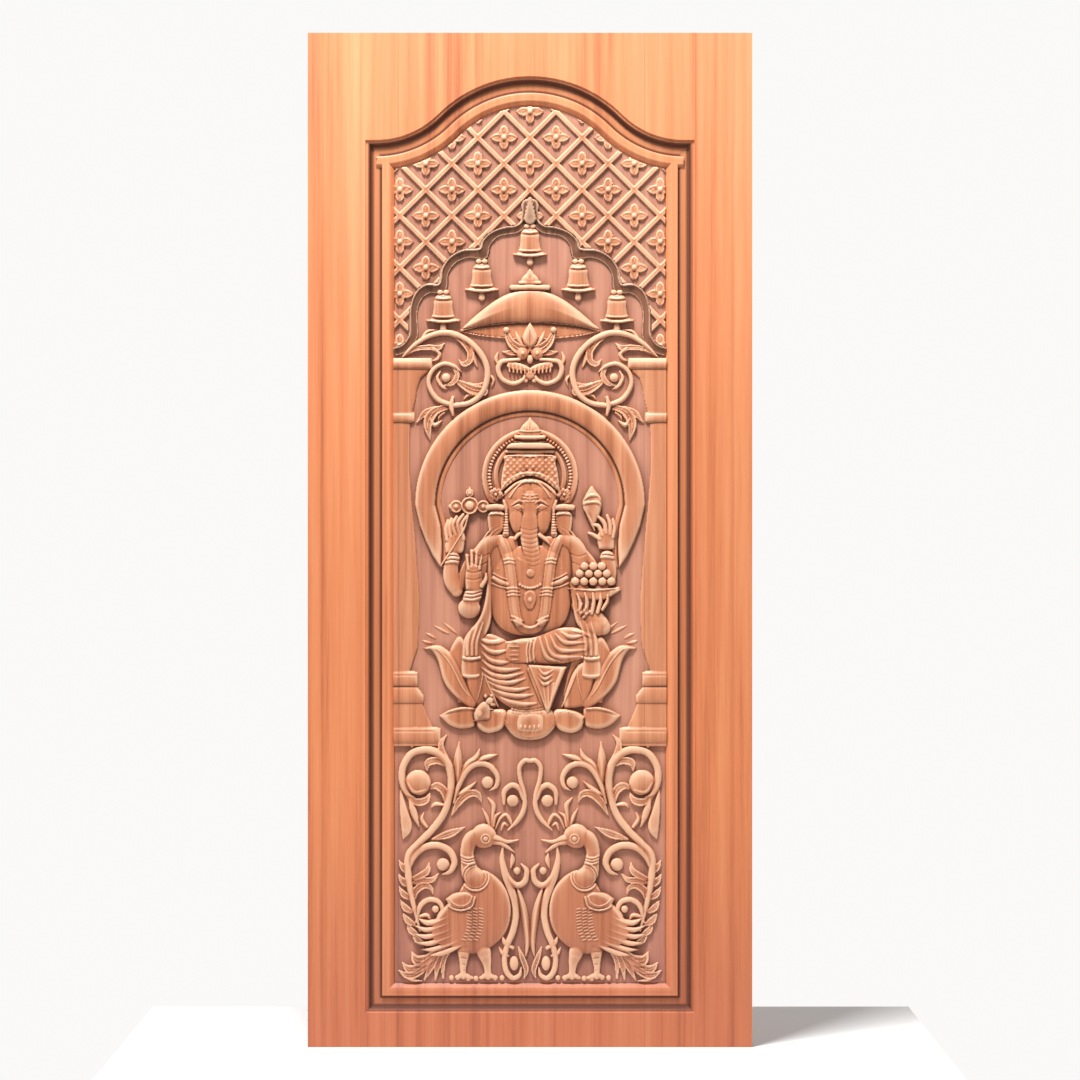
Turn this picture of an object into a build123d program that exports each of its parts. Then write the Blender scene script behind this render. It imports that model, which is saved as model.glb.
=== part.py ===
from build123d import *
import math
import os

os.makedirs("parts", exist_ok=True)

# A carved temple door: a slab of three boards glued edge to edge, then carved in the solid.
# X runs across the door, Z up from its bottom edge, and the carved face looks towards -Y.
# All sizes are in millimetres.

# The slab
DOOR_WIDTH = 920.0
DOOR_HEIGHT = 2100.0
DOOR_THICKNESS = 40.0
LEFT_JOINT_X = -273.0
RIGHT_JOINT_X = 237.0

# The sunk panel: its outer outline has square shoulders and an ogee arch
BORDER_WIDTH = 119.0
BOTTOM_BORDER = 71.0
TOP_BORDER = 89.5
ARCH_RISE = 132.0
ARCH_CROWN_RADIUS = 269.0
ARCH_FOOT_RADIUS = 181.7
ARCH_TURN = 45.0

# The stepped moulding, as insets from that outline and depths below the border
LEDGE_DEPTH = 3.5
BAND_INSET = 11.0
BAND_DEPTH = 12.0
STRIP_INSET = 34.0
STRIP_DEPTH = 7.0
SLOPE_INSET = 51.0
GROUND_INSET = 61.0
GROUND_DEPTH = 16.0

# How far each carving rises from the sunk ground, and how deep its root goes into the board
ROOT = 1.0
CHISEL_FLAT = 0.5
BAR_RISE = 5.0
PETAL_RISE = 4.0
ARCH_BAND_RISE = 10.0
STEM_RISE = 8.0
LEAF_RISE = 6.0
COLUMN_RISE = 5.0
RING_RISE = 8.0
HALO_RISE = 10.0
HALO_LIP_RISE = 3.0
HAND_RISE = 9.0
CLOTH_RISE = 12.0
FIGURE_RISE = 15.0

PANEL_HALF_WIDTH = DOOR_WIDTH / 2 - BORDER_WIDTH
SHOULDER_Z = DOOR_HEIGHT - TOP_BORDER - ARCH_RISE
FRONT_Y = -DOOR_THICKNESS / 2
GROUND_Y = FRONT_Y + GROUND_DEPTH
FACE = Plane(origin=(0, FRONT_Y, 0), x_dir=(1, 0, 0), z_dir=(0, -1, 0))
GROUND = FACE.offset(-GROUND_DEPTH)
SEAT = GROUND.offset(-ROOT)
FIELD_EDGE = PANEL_HALF_WIDTH - GROUND_INSET


def arched_outline(inset, mode=Mode.ADD):
    """The panel's outline moved inwards, as one face."""
    side = PANEL_HALF_WIDTH - inset
    bottom = BOTTOM_BORDER + inset
    shoulder = SHOULDER_Z - inset
    crown = ARCH_CROWN_RADIUS - inset
    foot = ARCH_FOOT_RADIUS + inset
    turn = math.radians(ARCH_TURN)
    half = turn / 2
    start_x = (crown + foot) * math.sin(turn)
    apex = shoulder + (crown + foot) * (1 - math.cos(turn))
    bend = (crown * math.sin(turn), apex - crown * (1 - math.cos(turn)))
    foot_middle = (start_x - foot * math.sin(half), shoulder + foot * (1 - math.cos(half)))
    crown_middle = (crown * math.sin(half), apex - crown * (1 - math.cos(half)))
    with BuildLine() as outline:
        Polyline((0, bottom), (side, bottom), (side, shoulder), (start_x, shoulder))
        ThreePointArc((start_x, shoulder), foot_middle, bend)
        ThreePointArc(bend, crown_middle, (0, apex))
        mirror(about=Plane.YZ)
    make_face(outline.line, mode=mode)


def side_normals(points):
    """The unit normal of a line of points at each of them."""
    last = len(points) - 1
    normals = []
    for i in range(len(points)):
        ahead = points[min(i + 1, last)]
        behind = points[max(i - 1, 0)]
        run = (ahead[0] - behind[0], ahead[1] - behind[1])
        length = math.hypot(*run)
        normals.append((-run[1] / length, run[0] / length))
    return normals


def leaf(points, widths):
    """A small leaf or shoot along a line of points, cut with straight sides."""
    normals = side_normals(points)
    left = [(p[0] + n[0] * w, p[1] + n[1] * w) for p, n, w in zip(points, normals, widths)]
    right = [(p[0] - n[0] * w, p[1] - n[1] * w) for p, n, w in zip(points, normals, widths)]
    Polygon(*left, *reversed(right), align=None)


def mound(*stations, chiselled=False):
    """A rounded or three-sided bar lying on the ground: each station is x, z, half width and rise."""
    normals = side_normals([(x, z) for x, z, width, rise in stations])
    sections = []
    for (x, z, width, rise), normal in zip(stations, normals):
        along = (normal[1], 0, -normal[0])
        across = Plane(origin=(x, GROUND_Y, z), x_dir=(normal[0], 0, normal[1]), z_dir=along)
        flat = width * CHISEL_FLAT
        with BuildSketch(across) as section:
            with BuildLine() as arch:
                if chiselled:
                    Polyline((-width, -ROOT), (-flat, rise), (flat, rise), (width, -ROOT))
                else:
                    ThreePointArc((-width, -ROOT), (0, rise), (width, -ROOT))
                Line((width, -ROOT), (-width, -ROOT))
            make_face(arch.line)
        sections.append(section.sketch)
    loft(sections, ruled=True)


# The slab with its sunk panel, before the carving
with BuildPart() as slab:
    with BuildSketch(Plane.XY):
        Rectangle(DOOR_WIDTH, DOOR_THICKNESS)
    extrude(amount=DOOR_HEIGHT)
    with BuildSketch(FACE):
        arched_outline(0)
    extrude(amount=-LEDGE_DEPTH, mode=Mode.SUBTRACT)
    with BuildSketch(FACE):
        arched_outline(BAND_INSET)
    extrude(amount=-STRIP_DEPTH, mode=Mode.SUBTRACT)
    with BuildSketch(FACE):
        arched_outline(BAND_INSET)
        arched_outline(STRIP_INSET, mode=Mode.SUBTRACT)
    extrude(amount=-BAND_DEPTH, mode=Mode.SUBTRACT)
    with BuildSketch(FACE.offset(-STRIP_DEPTH)) as slope_top:
        arched_outline(SLOPE_INSET)
    with BuildSketch(GROUND) as slope_foot:
        arched_outline(GROUND_INSET)
    loft([slope_top.sketch, slope_foot.sketch], ruled=True, mode=Mode.SUBTRACT)

# The cusped arch: three lobes a side under a spike, drawn on the left and mirrored
ARCH_FOOT_Z = 1450.0
ARCH_BAND = 17.0


def cusped_arch_outer(mode=Mode.ADD):
    """Everything under the arch's outer edge, down to its foot."""
    with BuildLine() as edge:
        Polyline((0, 1757), (-8, 1757), (-14, 1715), (-48, 1700))
        ThreePointArc((-48, 1700), (-87, 1684), (-105, 1655))
        ThreePointArc((-105, 1655), (-165, 1638), (-189, 1582))
        ThreePointArc((-189, 1582), (-238, 1562), (-251, 1478))
        Polyline((-251, 1478), (-FIELD_EDGE, ARCH_FOOT_Z), (0, ARCH_FOOT_Z))
        mirror(about=Plane.YZ)
    make_face(edge.line, mode=mode)


def cusped_arch_inner(mode=Mode.ADD):
    """Everything under the arch's inner edge, down to its foot."""
    foot = ARCH_FOOT_Z - ARCH_BAND
    with BuildLine() as edge:
        Polyline((0, 1728), (-11, 1696), (-45, 1684))
        ThreePointArc((-45, 1684), (-76, 1671), (-92, 1634))
        ThreePointArc((-92, 1634), (-155, 1624), (-177, 1563))
        ThreePointArc((-177, 1563), (-226, 1548), (-233, 1478))
        Polyline((-233, 1478), (-249, 1449), (-FIELD_EDGE, foot), (0, foot))
        mirror(about=Plane.YZ)
    make_face(edge.line, mode=mode)


with BuildPart() as cusped_arch:
    with BuildSketch(SEAT):
        cusped_arch_outer()
        with Locations((0, ARCH_FOOT_Z - ARCH_BAND / 2)):
            Rectangle(2 * FIELD_EDGE, ARCH_BAND)
        cusped_arch_inner(mode=Mode.SUBTRACT)
    extrude(amount=ARCH_BAND_RISE + ROOT)

# The lattice: diagonal bars over a net of square diamonds, a four-pointed flower in each
NET = 54.0
NET_CENTRE_Z = 1884.0
NET_COLUMNS = 5
NET_ROWS = 8
BAR_REACH = 1700.0
BAR_WIDTH = 10.5
PETAL_REACH = 25.0

DIAMONDS = [
    (column * NET, NET_CENTRE_Z + row * NET)
    for column in range(-NET_COLUMNS, NET_COLUMNS + 1)
    for row in range(-NET_ROWS, 2)
    if (column + row) % 2
]
FLOWER = [(0, PETAL_REACH), (PETAL_REACH, 0), (0, -PETAL_REACH), (-PETAL_REACH, 0)]
BAR_FEET = [(k * 2 * NET, NET_CENTRE_Z) for k in range(-NET_COLUMNS, NET_COLUMNS + 1)]


def trim_to_field():
    """Keep what lies between the panel's arched outline and the cusped arch."""
    arched_outline(GROUND_INSET - ROOT, mode=Mode.INTERSECT)
    cusped_arch_outer(mode=Mode.SUBTRACT)
    with Locations((0, ARCH_FOOT_Z)):
        Rectangle(DOOR_WIDTH, DOOR_HEIGHT, align=(Align.CENTER, Align.MAX), mode=Mode.SUBTRACT)


with BuildPart() as flower_lattice:
    with BuildSketch(SEAT):
        for lean in (45, -45):
            with Locations(*BAR_FEET):
                Rectangle(BAR_WIDTH, BAR_REACH, rotation=lean)
        trim_to_field()
    extrude(amount=BAR_RISE + ROOT)
    with BuildSketch(SEAT):
        with Locations(*DIAMONDS):
            Polygon(*FLOWER, align=None)
        trim_to_field()
    extrude(amount=PETAL_RISE + ROOT)

# Five bells hang from the spike and the cusps: cap, shoulder, flared rim and clapper
BELL_RIMS = ((0, 1640), (-100, 1567), (100, 1567), (-180, 1503), (180, 1503))
BELL_BODY = ((0, 34, 10), (9, 26, 10), (46, 18, 8), (66, 11, 5))
CLAPPER_WIDTH = 12.0
CLAPPER_DROP = 15.0

with BuildPart() as bells:
    for rim_x, rim_z in BELL_RIMS:
        mound(*[(rim_x, rim_z + up, width, rise) for up, width, rise in BELL_BODY], chiselled=True)
        with BuildSketch(SEAT):
            with Locations((rim_x, rim_z)):
                Rectangle(CLAPPER_WIDTH, CLAPPER_DROP, align=(Align.CENTER, Align.MAX))
        extrude(amount=LEAF_RISE + ROOT)

# The parasol: a wide dome with a hollow underside, a plate and a pointed finial
DOME_HALF = 143.0
DOME_FOOT_Z = 1484.0
DOME_TOP_Z = 1569.0
DOME_LIP_Z = 1500.0
DOME_UNDERSIDE_Z = 1466.0
DOME_RISE = 13.0
DOME_LIP_RISE = 4.0
DOME_UNDERSIDE_RISE = 2.0

with BuildPart() as parasol:
    with BuildSketch(SEAT):
        with BuildLine():
            ThreePointArc((-DOME_HALF, DOME_FOOT_Z), (0, DOME_TOP_Z), (DOME_HALF, DOME_FOOT_Z))
            ThreePointArc((DOME_HALF, DOME_FOOT_Z), (0, DOME_LIP_Z), (-DOME_HALF, DOME_FOOT_Z))
        make_face()
    extrude(amount=DOME_LIP_RISE + ROOT)
    with BuildSketch(SEAT):
        with BuildLine():
            ThreePointArc((-DOME_HALF, DOME_FOOT_Z), (0, DOME_LIP_Z), (DOME_HALF, DOME_FOOT_Z))
            ThreePointArc((DOME_HALF, DOME_FOOT_Z), (0, DOME_UNDERSIDE_Z), (-DOME_HALF, DOME_FOOT_Z))
        make_face()
    extrude(amount=DOME_UNDERSIDE_RISE + ROOT)
    mound((0, DOME_LIP_Z, 136, DOME_RISE), (0, 1535, 98, 11), (0, 1562, 42, 7))
    mound((0, 1566, 37, 10), (0, 1580, 35, 10))
    mound((0, 1578, 24, 6), (0, 1592, 16, 6), (0, 1612, 1, 1))

# The lotus crest under the parasol, drawn on the left and mirrored
BUD_SIDES = 8
DROP_RADIUS = 11.0
CURL_RADIUS = 16.0

with BuildPart() as lotus_crest:
    with BuildSketch(SEAT):
        leaf([(0, 1443), (0, 1458), (0, 1480), (0, 1500)], [6, 16, 15, 1])
        leaf([(-10, 1444), (-34, 1462), (-50, 1490)], [12, 15, 5])
        leaf([(-8, 1426), (-34, 1430), (-55, 1440)], [12, 9, 1])
        leaf([(-44, 1422), (-64, 1410), (-62, 1385), (-36, 1375), (-10, 1397)], [4, 6, 6, 6, 3])
        leaf([(-46, 1418), (-22, 1414), (1, 1404)], [5, 8, 10])
        mirror(about=Plane.YZ)
        with Locations((0, 1394)):
            RegularPolygon(DROP_RADIUS, BUD_SIDES)
    extrude(amount=STEM_RISE + ROOT)
    with BuildSketch(SEAT):
        with Locations((-13, 1437), (13, 1437)):
            RegularPolygon(CURL_RADIUS, BUD_SIDES)
    extrude(amount=ARCH_BAND_RISE + ROOT)

# The corner scrolls beside the arch: one coiled stem with leaves, a collar and a tail
BALL_RADIUS = 10.0

with BuildPart() as corner_scrolls:
    with BuildSketch(SEAT):
        leaf([(-264, 1430), (-227, 1463), (-168, 1479), (-117, 1453), (-90, 1410), (-96, 1359), (-125, 1333),
              (-160, 1328)], [3, 6, 6, 7, 7, 7, 6, 5])
        leaf([(-160, 1328), (-192, 1341), (-208, 1372), (-202, 1401), (-174, 1414), (-142, 1398)],
             [5, 5, 5, 5, 5, 1])
        with Locations((-162, 1327)):
            Rectangle(11, 34)
        leaf([(-157, 1406), (-151, 1387), (-172, 1371)], [4, 6, 3])
        with Locations((-174, 1386)):
            RegularPolygon(BALL_RADIUS, BUD_SIDES)
        mirror(about=Plane.YZ)
    extrude(amount=STEM_RISE + ROOT)
    with BuildSketch(SEAT):
        leaf([(-264, 1429), (-228, 1448), (-178, 1449)], [1, 6, 7])
        leaf([(-197, 1446), (-190, 1432), (-205, 1420)], [6, 5, 1])
        leaf([(-168, 1476), (-130, 1450), (-124, 1421), (-133, 1415), (-148, 1424)], [1, 7, 8, 6, 1])
        leaf([(-98, 1358), (-126, 1364), (-156, 1381)], [10, 9, 2])
        leaf([(-166, 1326), (-205, 1307), (-207, 1256)], [5, 10, 1])
        leaf([(-204, 1312), (-218, 1303), (-233, 1293)], [7, 6, 1])
        mirror(about=Plane.YZ)
    extrude(amount=LEAF_RISE + ROOT)

# The engaged columns stand along the field's edges: heights, and half widths from the edge
SHAFT = ((31, 781), (48, 827), (52, 924), (43, 1046), (31, 1190), (31, 1295))
CAPITAL = ((37, 1315), (43, 1340), (54, 1385), (70, 1406))
COLUMN_FOOT = ((93, 655), (77, 664), (66, 690), (58, 712))
RINGS = ((1415, 20, 76), (1304, 22, 41), (763, 30, 47), (729, 34, 58), (646, 30, 94))

with BuildPart() as columns:
    with BuildSketch(SEAT):
        for outline in (SHAFT, CAPITAL, COLUMN_FOOT):
            line = [(x - FIELD_EDGE, z) for x, z in outline]
            Polygon(*line, (-FIELD_EDGE, line[-1][1]), (-FIELD_EDGE, line[0][1]), align=None)
        mirror(about=Plane.YZ)
    extrude(amount=COLUMN_RISE + ROOT)
    with BuildSketch(SEAT):
        for middle, tall, wide in RINGS:
            with Locations((-FIELD_EDGE, middle)):
                Rectangle(wide, tall, align=(Align.MIN, Align.CENTER))
        mirror(about=Plane.YZ)
    extrude(amount=RING_RISE + ROOT)

# The great ring behind the figure: a band that tapers to points, with a thin inner lip
HALO_Z = 1122.0
HALO_RADIUS = 239.0
HALO_BAND = 43.0
HALO_LIP_INNER = 182.0
TAIL_OUTER = ((-HALO_RADIUS, 1122), (-226, 1060), (-186, 995))
TAIL_INNER = ((-186, 995), (-184, 1060), (HALO_BAND - HALO_RADIUS, 1122))

with BuildPart() as halo:
    with BuildSketch(SEAT):
        with BuildLine():
            CenterArc((0, HALO_Z), HALO_RADIUS, 0, 180)
            ThreePointArc(*TAIL_OUTER)
            ThreePointArc(*TAIL_INNER)
            CenterArc((0, HALO_Z), HALO_RADIUS - HALO_BAND, 0, 180)
            ThreePointArc(*[(-x, z) for x, z in TAIL_OUTER])
            ThreePointArc(*[(-x, z) for x, z in TAIL_INNER])
        make_face()
    extrude(amount=HALO_RISE + ROOT)
    with BuildSketch(SEAT):
        with Locations((0, HALO_Z)):
            Circle(HALO_RADIUS - HALO_BAND + ROOT)
            Circle(HALO_LIP_INNER, mode=Mode.SUBTRACT)
            Rectangle(2 * HALO_RADIUS, HALO_RADIUS, align=(Align.CENTER, Align.MAX), mode=Mode.SUBTRACT)
    extrude(amount=HALO_LIP_RISE + ROOT)

# The ring behind the head, with its row of beads left to the finer carving
HEAD_RING_Z = 1181.0
HEAD_RING_RADIUS = 100.0
HEAD_RING_INNER = 66.0
DISC_RADIUS = 17.0

# The seated figure: an elephant-headed deity on a lotus, crowned, with a garland, a sash and four arms
with BuildPart() as seated_figure:
    with BuildSketch(SEAT):
        with Locations((0, HEAD_RING_Z)):
            Circle(HEAD_RING_RADIUS)
            Circle(HEAD_RING_INNER, mode=Mode.SUBTRACT)
        with Locations((0, HEAD_RING_Z - HEAD_RING_INNER)):
            Rectangle(2 * HEAD_RING_RADIUS, HEAD_RING_RADIUS, align=(Align.CENTER, Align.MAX), mode=Mode.SUBTRACT)
    extrude(amount=COLUMN_RISE + ROOT)
    with BuildSketch(SEAT):
        for level, wide, tall in ((1246, 52, 24), (1262, 34, 14)):
            with Locations((0, level)):
                Rectangle(2 * wide, tall)
        Polygon((0, 1301), (-22, 1268), (22, 1268), align=None)
        for side in (-1, 1):
            Polygon((side * 48, 1128), (side * 90, 1125), (side * 90, 1108), (side * 84, 1070), (side * 103, 1036),
                    (side * 60, 1058), align=None)
            Polygon((side * 30, 1060), (side * 84, 1050), (side * 90, 850), (side * 60, 850), align=None)
    extrude(amount=HAND_RISE + ROOT)
    mound((0, 1235, 47, 10), (0, 1200, 54, 13), (0, 1150, 61, 13))
    mound((0, 1160, 50, 13), (0, 1125, 53, 14), (0, 1080, 46, 12), (0, 1058, 26, 10))
    mound((0, 1125, 23, 15.5), (-2, 1050, 20, 15.5), (10, 1000, 17, 15.5), (14, 962, 12, 13), chiselled=True)
    mound((0, 1040, 60, 10), (0, 1000, 70, 13), (0, 925, 83, FIGURE_RISE), (0, 880, 70, FIGURE_RISE),
          (0, 850, 34, 11))
    for side in (-1, 1):
        mound((side * 70, 1048, 18, 9), (side * 106, 965, 19, 11), chiselled=True)
        mound((side * 158, 1022, 20, 10), (side * 158, 975, 19, 11), (side * 138, 938, 12, 10), chiselled=True)
    mound((-126, 940, 22, 11), (-127, 885, 20, 10), chiselled=True)
    mound((95, 915, 16, 10), (132, 880, 26, 12), (144, 848, 18, 10), chiselled=True)
    with BuildSketch(SEAT):
        for points in (((-136, 945), (-134, 1000), (-122, 1026), (-102, 1024), (-88, 968), (-96, 938)),
                       ((-178, 1030), (-172, 1082), (-140, 1104), (-138, 1028)),
                       ((178, 1030), (172, 1082), (140, 1104), (138, 1028)),
                       ((80, 952), (100, 1000), (150, 1000), (184, 955), (140, 900), (108, 900))):
            Polygon(*points, align=None)
        leaf([(-176, 998), (-138, 1066)], [4, 4])
        with Locations((-125, 1121)):
            RegularPolygon(DISC_RADIUS, BUD_SIDES)
            Rectangle(76, 12)
        leaf([(-125, 1130), (-125, 1158)], [9, 1])
        leaf([(132, 1070), (128, 1100), (127, 1140), (128, 1160)], [7, 20, 21, 2])
    extrude(amount=HAND_RISE + ROOT)
    mound((-108, 848, 18, 12), (-62, 800, 46, 14), (-18, 750, 50, 14), (4, 702, 22, 12), chiselled=True)
    mound((-10, 818, 26, 14), (40, 822, 32, FIGURE_RISE), (100, 836, 34, 14), (128, 852, 14, 10), chiselled=True)
    with BuildSketch(SEAT):
        leaf([(-62, 1056), (-38, 975), (-30, 888), (0, 868), (30, 888), (38, 975), (62, 1056)],
             [12, 12, 12, 11, 12, 12, 12])
        Polygon((-8, 796), (74, 786), (38, 680), align=None)
        Polygon((-45, 842), (-45, 795), (4, 795), (4, 842), align=None)
    extrude(amount=FIGURE_RISE + ROOT)
    with BuildSketch(SEAT):
        leaf([(-84, 1020), (-86, 940), (-100, 880), (-122, 830), (-122, 768)], [6, 6, 14, 17, 17])
        leaf([(84, 960), (92, 880), (114, 845), (126, 768)], [5, 8, 16, 18])
    extrude(amount=CLOTH_RISE + ROOT)

# The lotus seat: an outer row of tall petals behind, a bottom row of petals and a cushion under the foot
CUSHION_RADIUS = 44.0

with BuildPart() as lotus_seat:
    with BuildSketch(SEAT):
        leaf([(-218, 822), (-190, 828), (-166, 805), (-150, 760), (-116, 704)], [1, 8, 15, 21, 4])
        leaf([(-160, 845), (-146, 815), (-125, 765), (-104, 706)], [2, 14, 24, 12])
        leaf([(-60, 702), (-82, 740), (-98, 790)], [22, 24, 12])
        mirror(about=Plane.YZ)
    extrude(amount=LEAF_RISE + ROOT)
    with BuildSketch(SEAT):
        leaf([(-186, 682), (-145, 680), (-114, 672)], [1, 20, 4])
        leaf([(-116, 670), (-82, 672), (-54, 690)], [4, 24, 6])
        mirror(about=Plane.YZ)
        with Locations((0, 670)):
            RegularPolygon(CUSHION_RADIUS, BUD_SIDES)
    extrude(amount=HAND_RISE + ROOT)
    mound((-112, 672, 8, 9), (-98, 700, 14, 12), (-76, 724, 8, 12), chiselled=True)

# The birds face each other across the middle: body, neck, head, beak, legs, wing and saddle
with BuildPart() as birds:
    for side in (-1, 1):
        mound(*[(side * x, z, width, rise) for x, z, width, rise in
                ((96, 362, 28, 10), (84, 300, 46, FIGURE_RISE), (98, 235, 44, 14), (126, 198, 20, 9))],
              chiselled=True)
        mound(*[(side * x, z, width, rise) for x, z, width, rise in
                ((88, 436, 26, 12), (118, 426, 20, 12), (128, 388, 15, 10), (115, 335, 26, 12))],
              chiselled=True)
    with BuildSketch(SEAT):
        leaf([(-118, 300), (-150, 262), (-190, 238), (-236, 240)], [34, 40, 26, 8])
        leaf([(-172, 304), (-160, 302), (-130, 306), (-118, 312)], [6, 17, 20, 8])
        leaf([(-138, 200), (-138, 165), (-139, 134)], [13, 7, 9])
        leaf([(-88, 172), (-88, 150), (-88, 134)], [6, 12, 10])
        leaf([(-68, 436), (-48, 425), (-28, 418)], [8, 7, 3])
        leaf([(-68, 418), (-50, 410), (-32, 400)], [5, 4, 2])
        leaf([(-78, 458), (-76, 490), (-86, 514)], [4, 6, 3])
        mirror(about=Plane.YZ)
    extrude(amount=HAND_RISE + ROOT)

# The vines fill the sides: a main stem with coiled ends round big buds, shoots and pointed leaves
BIG_BUD_RADIUS = 27.0
SMALL_BUD_RADIUS = 14.0
SIDE_LEAVES = ((-252, 355), (-251, 320), (-247, 286), (-238, 254))

with BuildPart() as vines:
    with BuildSketch(SEAT):
        leaf([(-228, 240), (-247, 300), (-252, 360), (-240, 412), (-205, 447), (-176, 490), (-163, 550),
              (-176, 596), (-212, 616), (-250, 606), (-267, 570), (-258, 528)],
             [3, 7, 8, 8, 7, 9, 9, 9, 9, 9, 8, 2])
        leaf([(-252, 355), (-238, 398), (-205, 417), (-170, 409), (-158, 382), (-180, 360)], [4, 8, 8, 8, 8, 3])
        leaf([(-160, 500), (-140, 553), (-105, 585), (-73, 572), (-70, 540)], [3, 6, 6, 6, 3])
        leaf([(-236, 258), (-224, 294), (-200, 304), (-184, 288), (-192, 270)], [3, 6, 6, 5, 2])
        with Locations((-232, 547)):
            RegularPolygon(BIG_BUD_RADIUS, BUD_SIDES + 4)
        with Locations((-178, 378), (-88, 547)):
            RegularPolygon(SMALL_BUD_RADIUS, BUD_SIDES)
        mirror(about=Plane.YZ)
    extrude(amount=STEM_RISE + ROOT)
    with BuildSketch(SEAT):
        leaf([(-149, 545), (-149, 590), (-148, 628)], [5, 11, 1])
        leaf([(-162, 480), (-142, 512), (-120, 524), (-101, 508)], [2, 7, 8, 2])
        leaf([(-172, 498), (-182, 532), (-208, 534)], [7, 9, 1])
        leaf([(-200, 432), (-168, 442), (-136, 453)], [2, 9, 1])
        leaf([(-267, 530), (-260, 465), (-266, 430)], [1, 10, 2])
        for x, z in SIDE_LEAVES:
            Polygon((x - 2, z - 16), (x - 22, z + 10), (x, z + 2), align=None)
        leaf([(-190, 206), (-222, 180), (-243, 195)], [6, 12, 1])
        leaf([(-196, 196), (-232, 160), (-263, 172)], [5, 10, 1])
        leaf([(-200, 182), (-235, 148), (-270, 152)], [4, 9, 1])
        leaf([(-186, 200), (-205, 165), (-216, 134)], [6, 7, 2])
        mirror(about=Plane.YZ)
    extrude(amount=LEAF_RISE + ROOT)

# The centre scrolls between the birds: a long loop, coiled stems and a tall pair of stems on buds
with BuildPart() as centre_scrolls:
    with BuildSketch(SEAT):
        leaf([(-12, 590), (-22, 558), (-13, 510), (-18, 465), (-40, 444)], [3, 4, 5, 5, 2])
        leaf([(-14, 516), (-32, 536), (-50, 516)], [4, 6, 3])
        leaf([(-58, 412), (-52, 355), (-28, 315), (-20, 255), (-38, 200), (-40, 155), (-14, 145)],
             [3, 6, 7, 6, 6, 6, 5])
        leaf([(-48, 362), (-26, 341), (-12, 362)], [3, 6, 3])
        with Locations((-40, 507)):
            RegularPolygon(SMALL_BUD_RADIUS, BUD_SIDES)
        with Locations((-19, 168)):
            RegularPolygon(SMALL_BUD_RADIUS, BUD_SIDES)
        mirror(about=Plane.YZ)
    extrude(amount=LEAF_RISE + ROOT)

# The slab was glued up from three boards, and the carving runs across their joints in the same wood
CARVINGS = [cusped_arch.part, flower_lattice.part, bells.part, parasol.part, lotus_crest.part,
            corner_scrolls.part, columns.part, halo.part, seated_figure.part, lotus_seat.part, birds.part,
            vines.part, centre_scrolls.part]


def sawn(piece, joint_x, keep):
    """What a joint plane leaves of a piece on one side; a piece that doesn't reach the plane stays whole."""
    box = piece.bounding_box()
    if box.min.X >= joint_x or box.max.X <= joint_x:
        return piece
    with BuildPart() as rest:
        add(piece)
        split(bisect_by=Plane.YZ.offset(joint_x), keep=keep)
    return rest.part


with BuildPart() as left_board:
    add([sawn(piece, LEFT_JOINT_X, Keep.BOTTOM) for piece in [slab.part] + CARVINGS
         if piece.bounding_box().min.X < LEFT_JOINT_X])
left_board.part.label = "left_board"
export_step(left_board.part, "parts/left_board.step")

with BuildPart() as middle_board:
    add([sawn(sawn(piece, LEFT_JOINT_X, Keep.TOP), RIGHT_JOINT_X, Keep.BOTTOM)
         for piece in [slab.part] + CARVINGS])
middle_board.part.label = "middle_board"
export_step(middle_board.part, "parts/middle_board.step")

with BuildPart() as right_board:
    add([sawn(piece, RIGHT_JOINT_X, Keep.TOP) for piece in [slab.part] + CARVINGS
         if piece.bounding_box().max.X > RIGHT_JOINT_X])
right_board.part.label = "right_board"
export_step(right_board.part, "parts/right_board.step")
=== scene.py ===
import math
import bmesh
import bpy
import numpy as np
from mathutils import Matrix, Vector


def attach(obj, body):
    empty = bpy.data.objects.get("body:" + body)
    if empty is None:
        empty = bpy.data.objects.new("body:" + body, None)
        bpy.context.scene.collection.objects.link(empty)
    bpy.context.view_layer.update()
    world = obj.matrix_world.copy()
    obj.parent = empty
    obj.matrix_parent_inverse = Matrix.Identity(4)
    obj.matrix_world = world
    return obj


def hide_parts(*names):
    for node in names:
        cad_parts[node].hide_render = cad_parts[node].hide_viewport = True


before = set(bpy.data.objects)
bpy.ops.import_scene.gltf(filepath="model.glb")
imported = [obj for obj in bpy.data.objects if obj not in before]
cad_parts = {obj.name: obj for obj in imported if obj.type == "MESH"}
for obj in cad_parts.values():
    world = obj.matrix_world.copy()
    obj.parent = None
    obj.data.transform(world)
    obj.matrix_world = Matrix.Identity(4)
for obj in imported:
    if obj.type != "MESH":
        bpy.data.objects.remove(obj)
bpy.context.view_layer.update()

# The camera stands a long way off, level with the middle of the leaf and straight in front of the
# carved face, a little to its right, as the photograph was taken.
CAMERA_PLACE = (0.0207, -10.0, 1.05)
CAMERA_LENS = 160.7
CAMERA_SENSOR = 36.0
camera = bpy.data.objects.new("camera", bpy.data.cameras.new("camera"))
camera.data.lens = CAMERA_LENS
camera.data.sensor_width = CAMERA_SENSOR
camera.location = CAMERA_PLACE
camera.rotation_euler = (math.radians(90), 0, 0)
bpy.context.scene.collection.objects.link(camera)
bpy.context.scene.camera = camera

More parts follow.
